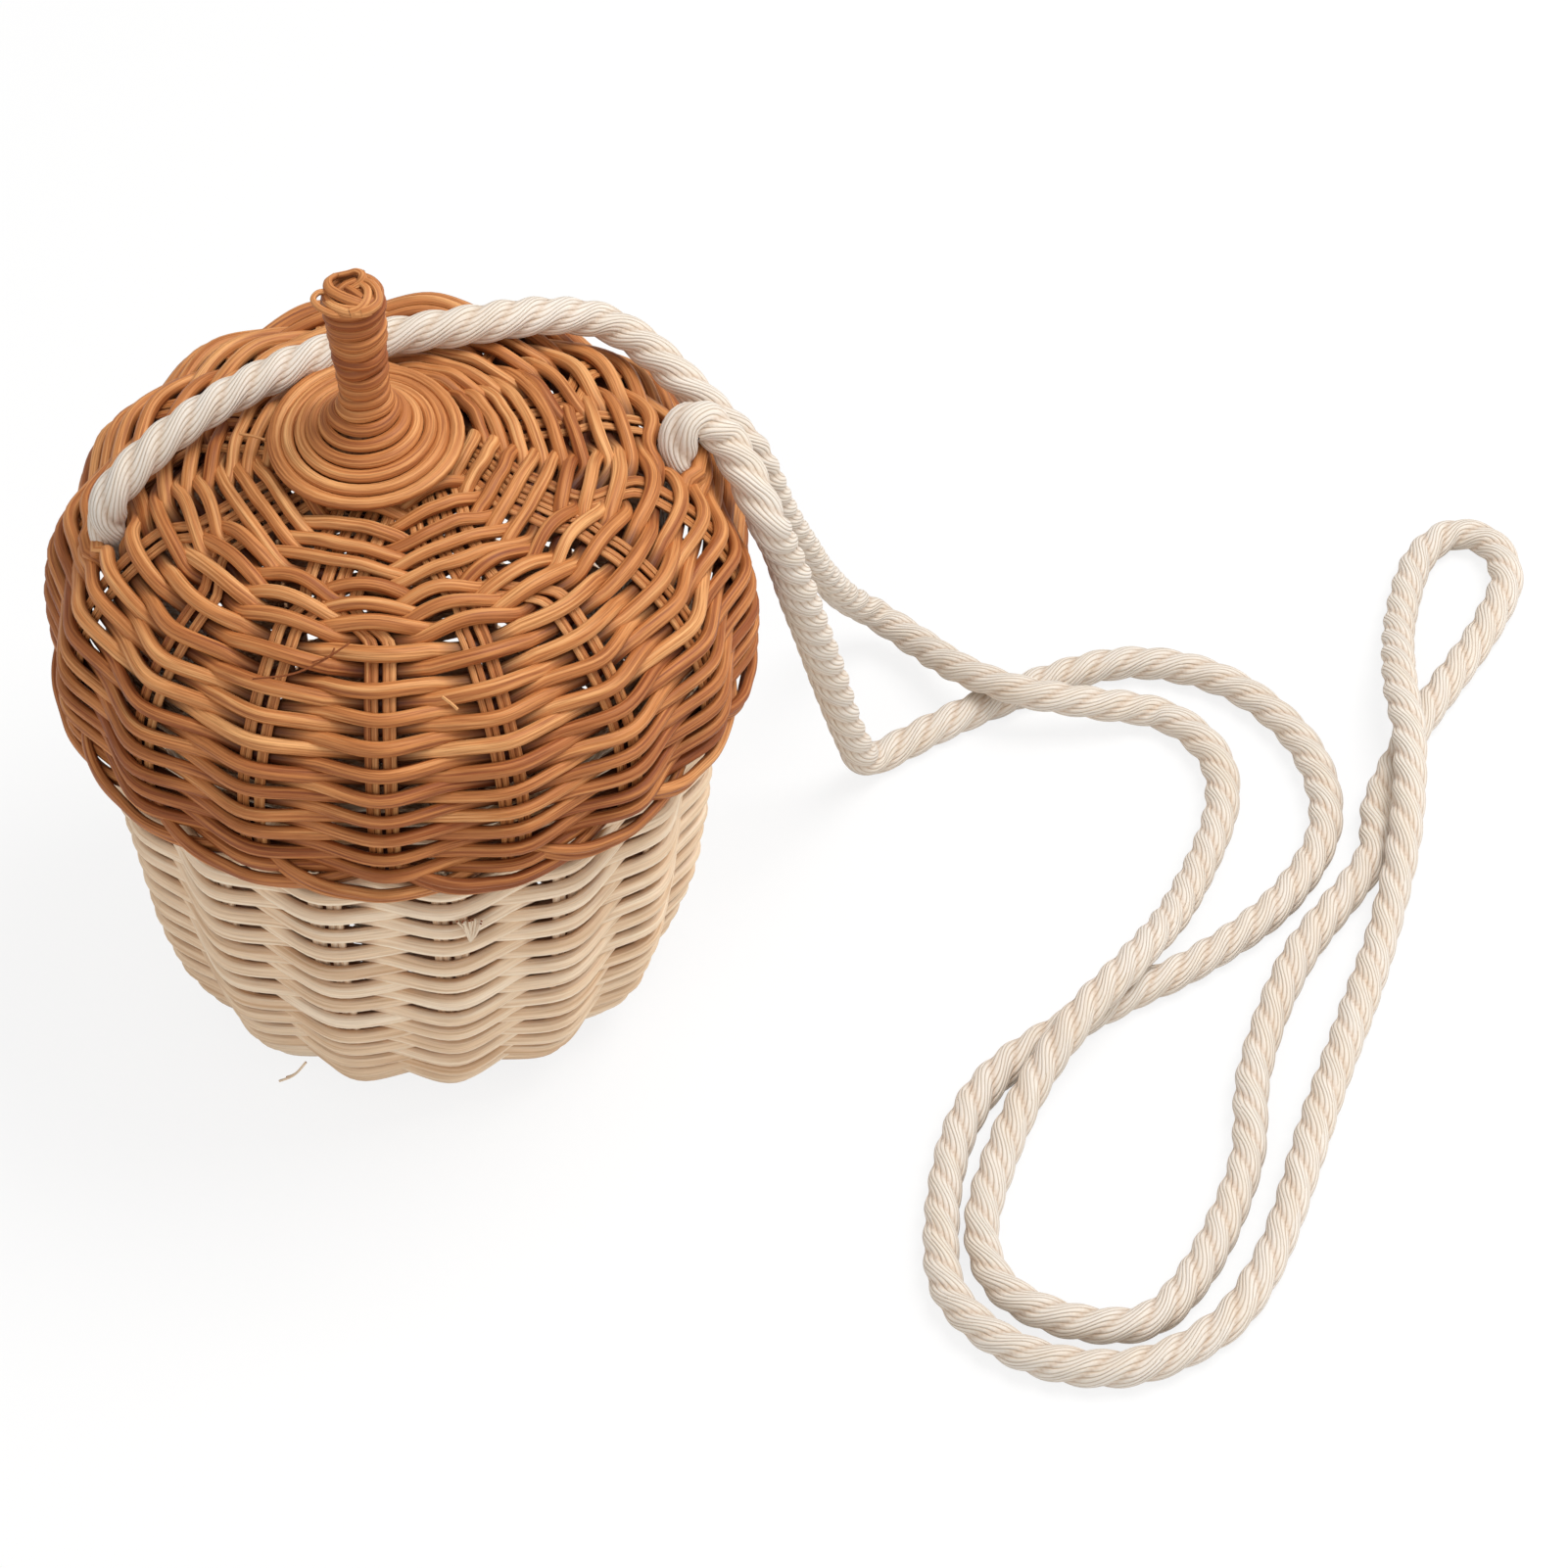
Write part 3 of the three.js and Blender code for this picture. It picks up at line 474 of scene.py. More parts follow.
class Profile:
    """A shell's outline from its edge or its middle up, with the directions out of it."""

    def __init__(self, radii, heights):
        lengths = lengths_along(np.stack([radii, heights], axis=1))
        self.s = np.linspace(0, lengths[-1], 600)
        self.r = np.interp(self.s, lengths, radii)
        self.z = np.interp(self.s, lengths, heights)
        self.total = self.s[-1]
        # Its directions are evened out over a few steps
        kernel = np.ones(2 * PROFILE_EVENING + 1) / (2 * PROFILE_EVENING + 1)
        dr, dz = (
            np.convolve(np.pad(np.gradient(a), PROFILE_EVENING, mode="edge"), kernel, mode="valid")
            for a in (self.r, self.z)
        )
        size = np.hypot(dr, dz)
        self.out_r, self.out_z = dz / size, -dr / size

    def facing(self, s):
        return np.interp(s, self.s, self.out_r), np.interp(s, self.s, self.out_z)

    def outward(self, s, turn):
        out_r, out_z = self.facing(s)
        return polar(out_r, turn, out_z)

    def place(self, s, offset, turn, shrink=1.0):
        out_r, out_z = self.facing(s)
        r = (self.radius(s) + offset * out_r) * shrink
        return polar(r, turn, np.interp(s, self.s, self.z) + offset * out_z)

    def length_at_height(self, height):
        return float(np.interp(height, self.z, self.s))

    def radius(self, s):
        return np.interp(s, self.s, self.r)

    def at_radius(self, radius, values):
        """Reads its lengths or heights at a radius above its widest place."""
        widest = int(np.argmax(self.r))
        return np.interp(-radius, -self.r[widest:], values[widest:])


def cup_profile():
    wall_top = CUP_SHOULDER_HEIGHT - CUP_SHOULDER_WIDTH
    neck_radius = CUP_RADIUS - CUP_SHOULDER_WIDTH
    end = math.acos(1 - (wall_top / CUP_CURVE_HEIGHT) ** (1 / CUP_FOOT_SOFTNESS))
    a = np.linspace(0, end, 120)
    r = CUP_FOOT_RADIUS + (CUP_RADIUS - CUP_FOOT_RADIUS) * np.sin(a) ** CUP_FULLNESS
    z = CUP_CURVE_HEIGHT * (1 - np.cos(a)) ** CUP_FOOT_SOFTNESS
    t = np.linspace(0, 1, 21)[1:]
    corner = [(CUP_RADIUS, wall_top), (CUP_RADIUS, CUP_SHOULDER_HEIGHT),
              (CUP_RADIUS, CUP_SHOULDER_HEIGHT),
              (neck_radius + 0.5 * NECK_FILLET, CUP_SHOULDER_HEIGHT)]
    weights = [(1 - t) ** 3, 3 * t * (1 - t) ** 2, 3 * t ** 2 * (1 - t), t ** 3]
    shoulder_r = sum(w * p[0] for w, p in zip(weights, corner))
    shoulder_z = sum(w * p[1] for w, p in zip(weights, corner))
    neck_r = [neck_radius + 0.1 * NECK_FILLET, neck_radius, neck_radius]
    neck_z = [CUP_SHOULDER_HEIGHT + 0.4 * NECK_FILLET, CUP_SHOULDER_HEIGHT + NECK_FILLET, NECK_TOP]
    return Profile(np.concatenate([[0], r, shoulder_r, neck_r]),
                   np.concatenate([[0], z, shoulder_z, neck_z]))


def lid_profile():
    t = np.linspace(0, 1, 40)
    rim_r = LID_RIM_RADIUS + (LID_RADIUS - LID_RIM_RADIUS) * np.sqrt(1 - (1 - t) ** 2)
    rim_z = LID_WIDEST_HEIGHT * t
    a = np.linspace(0, math.pi / 2, 160)[1:]
    dome_r = LID_RADIUS * np.maximum(np.cos(a), 0) ** LID_SHOULDER
    dome_z = LID_WIDEST_HEIGHT + (LID_HEIGHT - LID_WIDEST_HEIGHT) * np.sin(a) ** LID_CROWN
    return Profile(np.concatenate([rim_r, dome_r]),
                   LID_RIM_HEIGHT + np.concatenate([rim_z, dome_z]))


def cup_turn(angle):
    return angle + CUP_STAKE_TURN + CUP_STAKE_DRIFT * np.sin(angle)


def lid_turn(angle):
    return angle + LID_STAKE_DRIFT * (np.cos(angle) - np.sin(angle) - 1)


# Woven rows: two strands, each in front of every other stake group

def over_stake(x, flat, bend):
    """1 on a stake group and 0 half a bay away, round on the rods and straight beside them."""
    beside = np.maximum(np.abs(x) - flat, 0) * 0.5 / (0.5 - flat)
    return 1 - bent(beside, bend)


def bent(x, bend):
    """0 at a corner and 1 half a bay away, straight beside a rounded corner."""
    rise = math.sqrt(0.25 + bend ** 2) - bend
    return (np.sqrt(x * x + bend * bend) - bend) / rise


def draw_in(x, chord, corner):
    """A taut row draws in between its corners on the stakes."""
    return 1 + corner * (math.cos(chord) / np.cos(chord * (1 - bent(x, CORNER_ROUNDNESS))) - 1)


def straight_past(beside, chord, share_of_chord, overrun=0.1):
    """Over its own stakes a strand runs straight, on past the crossings, and comes back behind."""
    edge = 0.5 + overrun
    least, most = math.cos(chord), math.cos(chord) / math.cos(2 * chord * edge)
    front = math.cos(chord) / np.cos(2 * chord * np.minimum(beside, edge))
    share = np.clip((beside - edge) / (1 - edge), 0, 1)
    back = least + (most - least) * (0.5 + 0.5 * np.cos(math.pi * share))
    return 1 + share_of_chord * (np.where(beside < edge, front, back) - 1)


def crown_shift(line):
    """Near the crown the weave is turned, and lies a little to the front."""
    x, y, z = line[:, 0], line[:, 1], line[:, 2]
    r = np.hypot(x, y)
    share = np.clip((CROWN_SHIFT_OUTER - r) / (CROWN_SHIFT_OUTER - CROWN_SHIFT_INNER), 0, 1)
    weight = smooth_step(share) * np.clip((r - CROSS_RADIUS) / CROSS_FADE, 0, 1)
    c, s = np.cos(CROWN_TURN * weight), np.sin(CROWN_TURN * weight)
    x, y = x * c - y * s, y * c + x * s - CROWN_FORWARD * weight
    fall = LID.at_radius(np.hypot(x, y), LID.z) - LID.at_radius(r, LID.z)
    return np.stack([x, y, z + fall], axis=1)


def woven_row(batch, profile, turn, s, weaver, rod, bays, pitch, start=0.0, steps=14,
              room=(), corner=1.0, tint=0.0, flat=0.0, bend=0.24, move=None):
    """A corner of 1 draws a row in between its stakes, one below 0 runs its strands straight."""
    half_out, half_side = weaver
    phase = np.arange(bays * steps) / (bays * steps) * TAU
    place = bays * phase / TAU
    nearest = np.round(place)
    x = place - nearest
    lift = over_stake(x, flat, bend)
    drift = wobble(phase, ROW_DRIFT, 6)
    for strand in (0, 1):
        sign = np.where((nearest + strand) % 2 == 0, 1.0, -1.0)
        size = rng.normal(1, SIZE_SPREAD)
        out = -half_out + (half_out + rod) * (sign * lift - 1) + wobble(phase, STRAND_DEPTH, 20)
        rise = (0.5 - strand) * pitch * (0.5 - CLOSE_UP * lift)
        height = s + rise + drift + wobble(phase, STRAND_RISE, 18)
        angle = turn(phase + start)
        if corner < 0:
            own = place + strand
            shrink = straight_past(np.abs(own - 2 * np.round(own / 2)), math.pi / bays, -corner)
            line = profile.place(height + (1 - shrink) * profile.radius(s), out, angle)
        else:
            line = profile.place(height, out, angle, draw_in(x, math.pi / bays, corner))
        line = move(line) if move else line
        for hole in room:
            line = stand_clear(line, hole, half_out)
        # deep drives painted shade where the strand runs behind a stake group
        deep = np.clip((1 - sign * lift) / 2, 0, 1)
        girth = size * (1 + wobble(phase, STRAND_GIRTH, 16))
        # Each strand's map starts behind a stake group
        shift = -steps if strand == 0 else 0
        line, outward, girth, deep = (
            np.roll(a, shift, axis=0) for a in (line, profile.outward(height, angle), girth, deep)
        )
        batch.add(line, outward, half_out * girth, half_side * girth, deep=deep, closed=True,
                  tint=rng.uniform() + tint)


def stand_clear(line, hole, radius):
    """Moves a strand aside where the strap comes through."""
    keep = STRAP_RADIUS + radius
    away = line[:, :2] - np.array(hole)
    distance = np.maximum(np.linalg.norm(away, axis=1), 1e-6)
    wanted = (distance ** 4 + keep ** 4) ** 0.25
    moved = line.copy()
    moved[:, :2] = np.array(hole) + away * (wanted / distance)[:, None]
    return moved


# Stake groups: flat bundles of thin rods behind the front strands

def group_offsets(rod, middle_gap):
    return [k * ROD_PITCH * rod + math.copysign(middle_gap, k) for k in (-1.5, -0.5, 0.5, 1.5)]


def stake_rods(profile, turn, weaver, rod, stations, middle_gap, pull=None, move=None):
    batch = StrandBatch(sides=8)
    for k in range(STAKE_COUNT):
        angle = float(turn(k / STAKE_COUNT * TAU))
        lean = -1 if k % 2 == 0 else 1
        for offset in group_offsets(rod, middle_gap):
            depth = -(2 * weaver + ROD_FLATNESS * rod) + rng.normal(0, ROD_SPREAD)
            turns = np.full(len(stations), angle)
            if pull:
                turns = turns + lean * pull(profile.radius(stations))
            across = polar(1, turns + math.pi / 2, np.zeros_like(turns))
            line = profile.place(stations, depth, turns)
            line = line + across * (offset + rng.normal(0, ROD_SPREAD))
            line = move(line) if move else line
            size = rod * rng.normal(1, SIZE_SPREAD)
            outward = profile.outward(stations, turns)
            batch.add(line, outward, ROD_FLATNESS * size, ROD_BREADTH * size, deep=0.5)
    return batch


def pair_pull(radius):
    """Near the crown two neighbouring groups are drawn together by the first rows."""
    close = np.arcsin(np.clip(PAIR_CLOSE / np.maximum(radius, 0.004), 0, 1))
    pulled = np.maximum(math.pi / STAKE_COUNT - close, 0)
    share = np.clip((radius - PAIR_INNER) / (PAIR_OUTER - PAIR_INNER), 0, 1)
    return pulled * (1 - smooth_step(share))


# Borders: each stake group folds over its neighbour and tucks in behind the next

def folded_border(profile, turn, weaver, rod, rods, path, from_top, tint=0.0):
    batch = StrandBatch()
    bays, heights, front = smooth_curve(path, 8).T
    opened = np.clip(bays / FOLD_OPENING, 0, 1)
    # deep drives painted shade where the fold runs behind
    deep = np.clip(1 - front, 0, 1) * 0.8
    for k in range(STAKE_COUNT):
        for j in range(rods):
            share = j - (rods - 1) / 2
            height = heights * MM + share * FOLD_PITCH * rod * np.maximum(opened, 0.25)
            s = profile.total - height if from_top else height
            angle = turn((k + bays) / STAKE_COUNT * TAU + (1 - opened) * share * FOLD_BESIDE)
            depth = -(2 * weaver + rod) * (1 - front) - rod + rng.normal(0, FOLD_SPREAD)
            line = profile.place(s, depth, angle)
            size = rod * rng.normal(1, FOLD_SIZE_SPREAD)
            batch.add(line, profile.outward(s, angle), size, size, deep=deep,
                      tint=rng.uniform() + tint)
    return batch


# Crosses: two sets of four bundles laid over each other at right angles

def square_cross(node, rod, turn_by):
    """It lies half way up the node's box."""
    batch = StrandBatch(sides=8)
    low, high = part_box(node)
    middle = (low[2] + high[2]) / 2
    for layer in (0, 1):
        heading = turn_by + (0.5 + layer) * math.pi / 2 - math.pi / STAKE_COUNT
        along = np.array([math.sin(heading), -math.cos(heading), 0])
        across = np.array([math.cos(heading), math.sin(heading), 0])
        for bundle in (-3, -1, 1, 3):
            aside = CROSS_RADIUS * math.sin(bundle * math.pi / STAKE_COUNT)
            reach = CROSS_RADIUS * math.cos(bundle * math.pi / STAKE_COUNT)
            for offset in group_offsets(rod, CROSS_GROUP_GAP):
                t = np.linspace(-reach, reach, 9)
                line = t[:, None] * along + (aside + offset * 0.94) * across
                line[:, 2] = middle + (layer - 0.5) * CROSS_LAYER * rod
                up = np.tile([0.0, 0.0, 1.0], (len(t), 1))
                batch.add(line, up, rod, rod, deep=0.6)
    return batch


# Lid and cup

def loose_fibres(batch, fibres):
    for points, half, tint in fibres:
        line = smooth_curve(np.array(points) * MM, 6)
        outward = np.tile([0.0, -0.7, 0.7], (len(line), 1))
        batch.add(line, outward, half, half, tint=tint)


def stake_nodes(body):
    return [f"{body}_stake_group_{k + 1:02d}" for k in range(STAKE_COUNT)]


def make_lid(material):
    slot = "stained_rattan"
    weave = StrandBatch()
    rows = np.array(LID_ROWS_MM) * MM
    pitches = np.gradient(rows)
    sizes = np.clip(LID_WEAVER_SHARE * pitches, LID_WEAVER, LID_WEAVER_MOST)
    for s, pitch, size in zip(rows, pitches, sizes):
        # tint here is painted shade: darker rows towards the rim
        corner, bend, tint = (float(np.interp(s, *a)) for a in (LID_CORNERS, LID_BENDS, LID_SHADE_TINTS))
        woven_row(weave, LID, lid_turn, s - LID_ROW_SETTLE * pitch,
                  [share * size for share in LID_WEAVER_SECTION], ROD_FLATNESS * LID_ROD,
                  STAKE_COUNT, pitch, room=STRAP_HOLES, corner=corner, tint=tint, bend=bend,
                  move=crown_shift)
    for s in LID_PAIR_ROWS_MM:
        woven_row(weave, LID, lid_turn, s * MM, LID_PAIR_WEAVER, LID_PAIR_ROD, STAKE_COUNT // 2,
                  LID_PAIR_PITCH, start=-math.pi / STAKE_COUNT, steps=28, corner=-0.65, flat=0.14,
                  bend=0.2, move=crown_shift)
    loose_fibres(weave, LID_FIBRES)
    finish_piece(weave.build("lid_weavers", material), slot, "lid", "lid_weave")
    stations = np.linspace(LID_STAKES_TO, float(LID.at_radius(STAKES_FROM, LID.s)), 60)
    stakes = stake_rods(LID, lid_turn, LID_WEAVER, LID_ROD, stations, LID_GROUP_GAP,
                        pull=pair_pull, move=crown_shift)
    finish_piece(stakes.build("lid_stakes", material), slot, "lid", *stake_nodes("lid"))
    # Painted shade: the rim is given a darker tint, like the lowest rows
    border = folded_border(LID, lid_turn, LID_WEAVER, LID_BORDER_ROD, 2, LID_BORDER_PATH,
                           from_top=False, tint=-0.75)
    finish_piece(border.build("lid_rim", material), slot, "lid", "lid_border")
    cross = square_cross("lid_spoke_cross", LID_ROD, 0.0)
    finish_piece(cross.build("lid_cross", material), slot, "lid", "lid_spoke_cross")


def make_cup(material):
    slot = "natural_rattan"
    weave = StrandBatch()
    for k in range(CUP_ROWS):
        s = CUP_FOOT_RADIUS + (k - 1) * CUP_ROW_PITCH + rng.normal(0, CUP_ROW_SPREAD)
        bays = STAKE_COUNT if k > 0 else STAKE_COUNT // 2
        woven_row(weave, CUP, cup_turn, s, CUP_WEAVER, 0.8 * CUP_ROD, bays, CUP_ROW_PITCH)
    for height in NECK_ROW_HEIGHTS:
        woven_row(weave, CUP, cup_turn, CUP.length_at_height(height), NECK_WEAVER, CUP_ROD,
                  STAKE_COUNT, NECK_ROW_PITCH, corner=0.4)
    loose_fibres(weave, CUP_FIBRES)
    # The frayed end of a rod under the border
    for k in range(9):
        top = np.array([12.9 + 0.6 * k, -65.2 + 0.13 * k, 74.4 - 0.1 * k])
        top = top + 0.25 * rng.normal(size=3)
        middle = 0.5 * (top + np.array(TUFT_FOOT)) + 0.3 * rng.normal(size=3)
        loose_fibres(weave, (((TUFT_FOOT, middle, top), 0.00026, 1.3),))
    finish_piece(weave.build("cup_weavers", material), slot, "cup", "cup_weave")
    stations = np.linspace(STAKES_FROM, CUP.total, 70)
    stakes = stake_rods(CUP, cup_turn, CUP_WEAVER[0], CUP_ROD, stations, CUP_GROUP_GAP)
    finish_piece(stakes.build("cup_stakes", material), slot, "cup", *stake_nodes("cup"))
    border = folded_border(CUP, cup_turn, CUP_WEAVER[0], CUP_BORDER_ROD, 3, CUP_BORDER_PATH,
                           from_top=True)
    finish_piece(border.build("cup_rim", material), slot, "cup", "cup_border")
    cross = square_cross("cup_base_cross", CUP_ROD, CUP_STAKE_TURN)
    finish_piece(cross.build("cup_cross", material), slot, "cup", "cup_base_cross")


# Stalk

def stalk_to_world(points):
    x, y, z = points[:, 0], points[:, 1], points[:, 2]
    c, s = math.cos(STALK_LEAN), math.sin(STALK_LEAN)
    return np.stack([x * c - z * s, y, x * s + z * c], axis=1) + np.array(STALK_BASE)


def turn_to_world(vectors):
    return stalk_to_world(vectors) - np.array(STALK_BASE)


def cane_line():
    """Radius and height along the winding, from the rim of the disc to the stalk's top."""
    edge = np.array([DISC_RADIUS - CANE_INSET, 0.0012])
    foot = np.array([STALK_FOOT_RADIUS - CANE_INSET, STALK_FLARE_HEIGHT])
    top = np.array([STALK_TOP_RADIUS - CANE_INSET, STALK_HEIGHT])
    reach = edge[0] - foot[0]
    inner = np.array([edge[0] - 0.65 * reach, edge[1] + 0.0004])
    lower = np.array([foot[0] + 0.0004, foot[1] * 0.4])
    t = np.linspace(0, 1, 200)[:, None]
    flare = (1 - t) ** 3 * edge + 3 * t * (1 - t) ** 2 * inner
    flare = flare + 3 * t ** 2 * (1 - t) * lower + t ** 3 * foot
    straight = foot + (top - foot) * np.linspace(0, 1, 100)[1:, None]
    return np.vstack([flare, straight])


def stalk_cane(material):
    line = cane_line()
    lengths = lengths_along(line)
    turns = lengths[-1] / CANE_PITCH
    share = np.linspace(0, 1, round(turns * CANE_STEPS))
    where = share * lengths[-1]
    r, z = (np.interp(where, lengths, a) for a in line.T)
    dr, dz = (np.interp(where, lengths, np.gradient(a, lengths)) for a in line.T)
    angle = share * turns * TAU + CANE_START
    loose = wobble(share * TAU, CANE_LOOSE, 60)
    r = r + dz * loose * 0.7 - dr * loose * 0.5
    z = z - dr * loose * 0.7 - dz * loose * 0.5
    # The first end is tucked under the disc
    tucked = np.clip(1 - share * turns / 0.16, 0, 1) ** 2
    r = r - CANE_TUCK[0] * tucked
    z = z - CANE_TUCK[1] * tucked
    # The front of the disc sags forward and down
    sag = np.clip((r - STALK_TOP_RADIUS) / (DISC_RADIUS - STALK_TOP_RADIUS), 0, 1)
    sag = sag * (0.5 + 0.5 * np.cos(angle))
    middle = polar(r, angle, z - DISC_SAG[1] * sag)
    middle[:, 1] -= DISC_SAG[0] * sag
    out = polar(dz, angle, -dr)
    # Its first turn is the thickest
    rim = np.clip(1.15 - share * turns, 0, 1)
    size = 1 + wobble(share * TAU, CANE_GIRTH, 60) + 0.22 * rim * (1 - tucked)
    # Painted shade: the upright stalk's cane is given a darker tint than the disc's, as its sides
    # get less of the light from above
    up = np.clip((z - 0.004) / 0.01, 0, 1)
    batch = StrandBatch(sides=14)
    batch.add(stalk_to_world(middle), turn_to_world(out), CANE_HALF_THICKNESS * size,
              CANE_HALF_WIDTH * size, tint=0.5 - 0.9 * up)
    finish_piece(batch.build("stalk_cane", material), "stained_rattan", "lid", "stalk_winding")


def stalk_rosette(material):
    """The cane's ends are folded over the top in crossing bands."""
    batch = StrandBatch(sides=10)
    base = np.array([0, 0, STALK_HEIGHT + ROSETTE_LIFT])
    below = base - (0, 0, 0.004)
    for points, half in ROSETTE_BANDS:
        line = smooth_curve(np.array(points) * MM, 8) + base
        batch.add(stalk_to_world(line), turn_to_world(unit(line - below)), 0.00062, MM * half,
                  deep=0.1, tint=rng.uniform(0, 0.9))
    # Its frayed end, and the coil that closes the stalk under it
    facing = np.tile([0.0, -1.0, 0.0], (5, 1))
    for k in range(5):
        tip = np.array([1.6 + 0.4 * k, 3.4, 3.6 - 0.3 * k]) + 0.25 * rng.normal(size=3)
        line = MM * np.linspace([1.2, 3.2, 2.6], tip, 5) + base
        batch.add(stalk_to_world(line), turn_to_world(facing), 0.0002, 0.00028, tint=0.9)
    coil = np.linspace(0, 3.2 * TAU, 130)
    r = np.interp(coil, (0, 1.3 * TAU, 3.2 * TAU), (0.0053, 0.0051, 0.0008))
    z = base[2] + 0.0002 + 0.0004 * np.sin(coil / 2.2)
    line = polar(r, coil, z)
    # The coil's inner turns get painted shade through a high deep
    batch.add(stalk_to_world(line), turn_to_world(unit(line - below)), 0.0009, 0.0013,
              deep=np.where(r < 0.0045, 0.85, 0.1), tint=0.1)
    finish_piece(batch.build("stalk_rosette", material), "stained_rattan", "lid", "stalk_top_knot")


def stalk_binding(material):
    """Thin cane wound round the peg under the crown."""
    low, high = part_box("stalk_tie")
    angle = np.linspace(0, BINDING_TURNS * TAU, 240)
    r = (high[0] - low[0]) / 2 - 0.0012 - 0.0022 * (0.5 - 0.5 * np.cos(angle / BINDING_TURNS))
    line = polar(r, angle, 0.0008 * np.sin(angle / 2.7)) + (np.array(low) + np.array(high)) / 2
    batch = StrandBatch()
    batch.add(line, polar(1, angle, np.zeros_like(angle)), 0.0010, 0.0011, deep=0.5)
    finish_piece(batch.build("stalk_binding", material), "inner_cane", "lid", "stalk_tie")


# Rope

def rope_radius(angle, twist):
    """Three full strands with narrow creases, and how deep a place lies in a crease."""
    lobe = (angle - twist + math.pi / 3) % (TAU / 3) - math.pi / 3
    centre, full = 0.31, 0.69
    strand = centre * np.cos(lobe) + np.sqrt(full ** 2 - (centre * np.sin(lobe)) ** 2)
    crease = np.clip((np.abs(lobe) / (math.pi / 3) - 0.62) / 0.38, 0, 1) ** 1.6
    return STRAP_RADIUS * strand, crease


def rope_piece(name, line, normal, along, lengths, material, first, last):
    """The map runs along the rope in u and counts its yarns in v."""
    line, normal, along, lengths = (a[first:last + 1] for a in (line, normal, along, lengths))
    side = np.cross(along, normal)
    n, sides = len(line), STRAP_SIDES
    angles = (np.arange(sides + 1) / sides * TAU)[None, :]
    # Its lay and its thickness are a little uneven
    lay = 1 + 0.06 * np.sin(lengths / 0.043)
    twist = -TAU * lengths / STRAP_LAY + 0.45 * np.sin(lengths / 0.061) * lay
    twist = (twist + 0.3 * np.sin(lengths / 0.023))[:, None]
    size = 1 + 0.025 * np.sin(lengths / 0.017) + 0.02 * np.sin(lengths / 0.0071 + 1)
    size = size + np.interp(lengths, *STRAP_THICKNESS)
    radius, crease = rope_radius(angles, twist)
    yarn = angles - STRAP_YARN_SHARE * twist + 0.10 * np.sin(3 * (angles - twist))
    yarn = STRAP_YARNS / TAU * yarn
    radius = (radius[:, :-1] * size[:, None])[..., None]
    turns = angles[:, :-1, None]
    ring = radius * (np.cos(turns) * normal[:, None] + np.sin(turns) * side[:, None])
    ring = line[:, None] + ring
    ring[..., 2] = np.maximum(ring[..., 2], STRAP_CLEARANCE)
    quads, maps = strand_wall(n, sides, lengths, yarn)
    # deep holds how far a place lies in a crease, which the material paints as shade
    attributes = {"tint": np.full(n * sides, 0.5), "deep": crease[:, :-1].ravel()}
    return build_mesh(name, ring.reshape(-1, 3), quads.ravel(), np.full(len(quads), 4),
                      maps.reshape(-1, 2), attributes, material)


def make_strap(material):
    route = ROUTE_IN_LEFT + ROUTE_OVER_LID + ROUTE_ON_GROUND + ROUTE_AT_RIGHT_HOLE + ROUTE_IN_RIGHT
    line = smooth_curve(np.array(route) * MM, 24)
    line[:, 2] = np.maximum(line[:, 2], STRAP_RADIUS)
    line = even_steps(line, STRAP_STEP)
    along, normal = carried_normals(line)
    lengths = lengths_along(line)
    in_left = int(np.argmax(line[:, 2] > STRAP_INSIDE))
    in_right = len(line) - 1 - int(np.argmax(line[::-1, 2] > STRAP_INSIDE))
    knots = [rope_knot("strap_left_knot", line[0], material),
             rope_knot("strap_right_knot", line[-1], material)]
    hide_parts("strap_knot_left")
    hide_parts("strap_knot_right")
    parts = (line, normal, along, lengths, material)
    left = rope_piece("strap_left_end", *parts, 0, in_left)
    right = rope_piece("strap_right_end", *parts, in_right, len(line) - 1)
    strap = rope_piece("strap", *parts, in_left, in_right)
    for knot in knots:
        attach(knot, "cup")
    for piece in (left, right):
        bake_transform(piece)
    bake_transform(strap)
    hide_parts("strap_end_left")
    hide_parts("strap_end_right")
    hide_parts("strap_over_lid", "strap_on_ground", "strap_at_right_hole")


def rope_knot(name, end, material):
    """Round turns of the rope's own end, drawn tight."""
    angle = np.linspace(0, KNOT_TURNS * TAU, 190)
    x, y = KNOT_RADIUS * np.cos(angle) + end[0], KNOT_RADIUS * np.sin(angle) + end[1]
    z = end[2] - KNOT_DROP - KNOT_HEIGHT * angle / angle[-1]
    line = np.stack([x, y, z], axis=1)
    along, normal = carried_normals(line)
    return rope_piece(name, line, normal, along, lengths_along(line), material, 0, len(line) - 1)


# Materials

def linear(rgb):
    return [((c / 255 + 0.055) / 1.055) ** 2.4 if c > 10 else c / 255 / 12.92 for c in rgb] + [1.0]


def add(tree, kind, **values):
    node = tree.nodes.new("ShaderNode" + kind)
    for key, value in values.items():
        setattr(node, key, value)
    return node


def math_node(tree, operation, first, second=0.0):
    node = add(tree, "Math", operation=operation)
    for socket, value in zip(node.inputs, (first, second)):
        if isinstance(value, (int, float)):
            socket.default_value = value
        else:
            tree.links.new(value, socket)
    return node.outputs[0]


def plus(tree, first, second):
    return math_node(tree, "ADD", first, second)


def minus(tree, first, second):
    return math_node(tree, "SUBTRACT", first, second)


def times(tree, first, second):
    return math_node(tree, "MULTIPLY", first, second)


def weighed(tree, first, share, second):
    return plus(tree, times(tree, first, share), times(tree, second, 1 - share))


def new_material(name):
    material = bpy.data.materials.new(name)
    material.use_nodes = True
    tree = material.node_tree
    return material, tree, tree.nodes["Principled BSDF"]


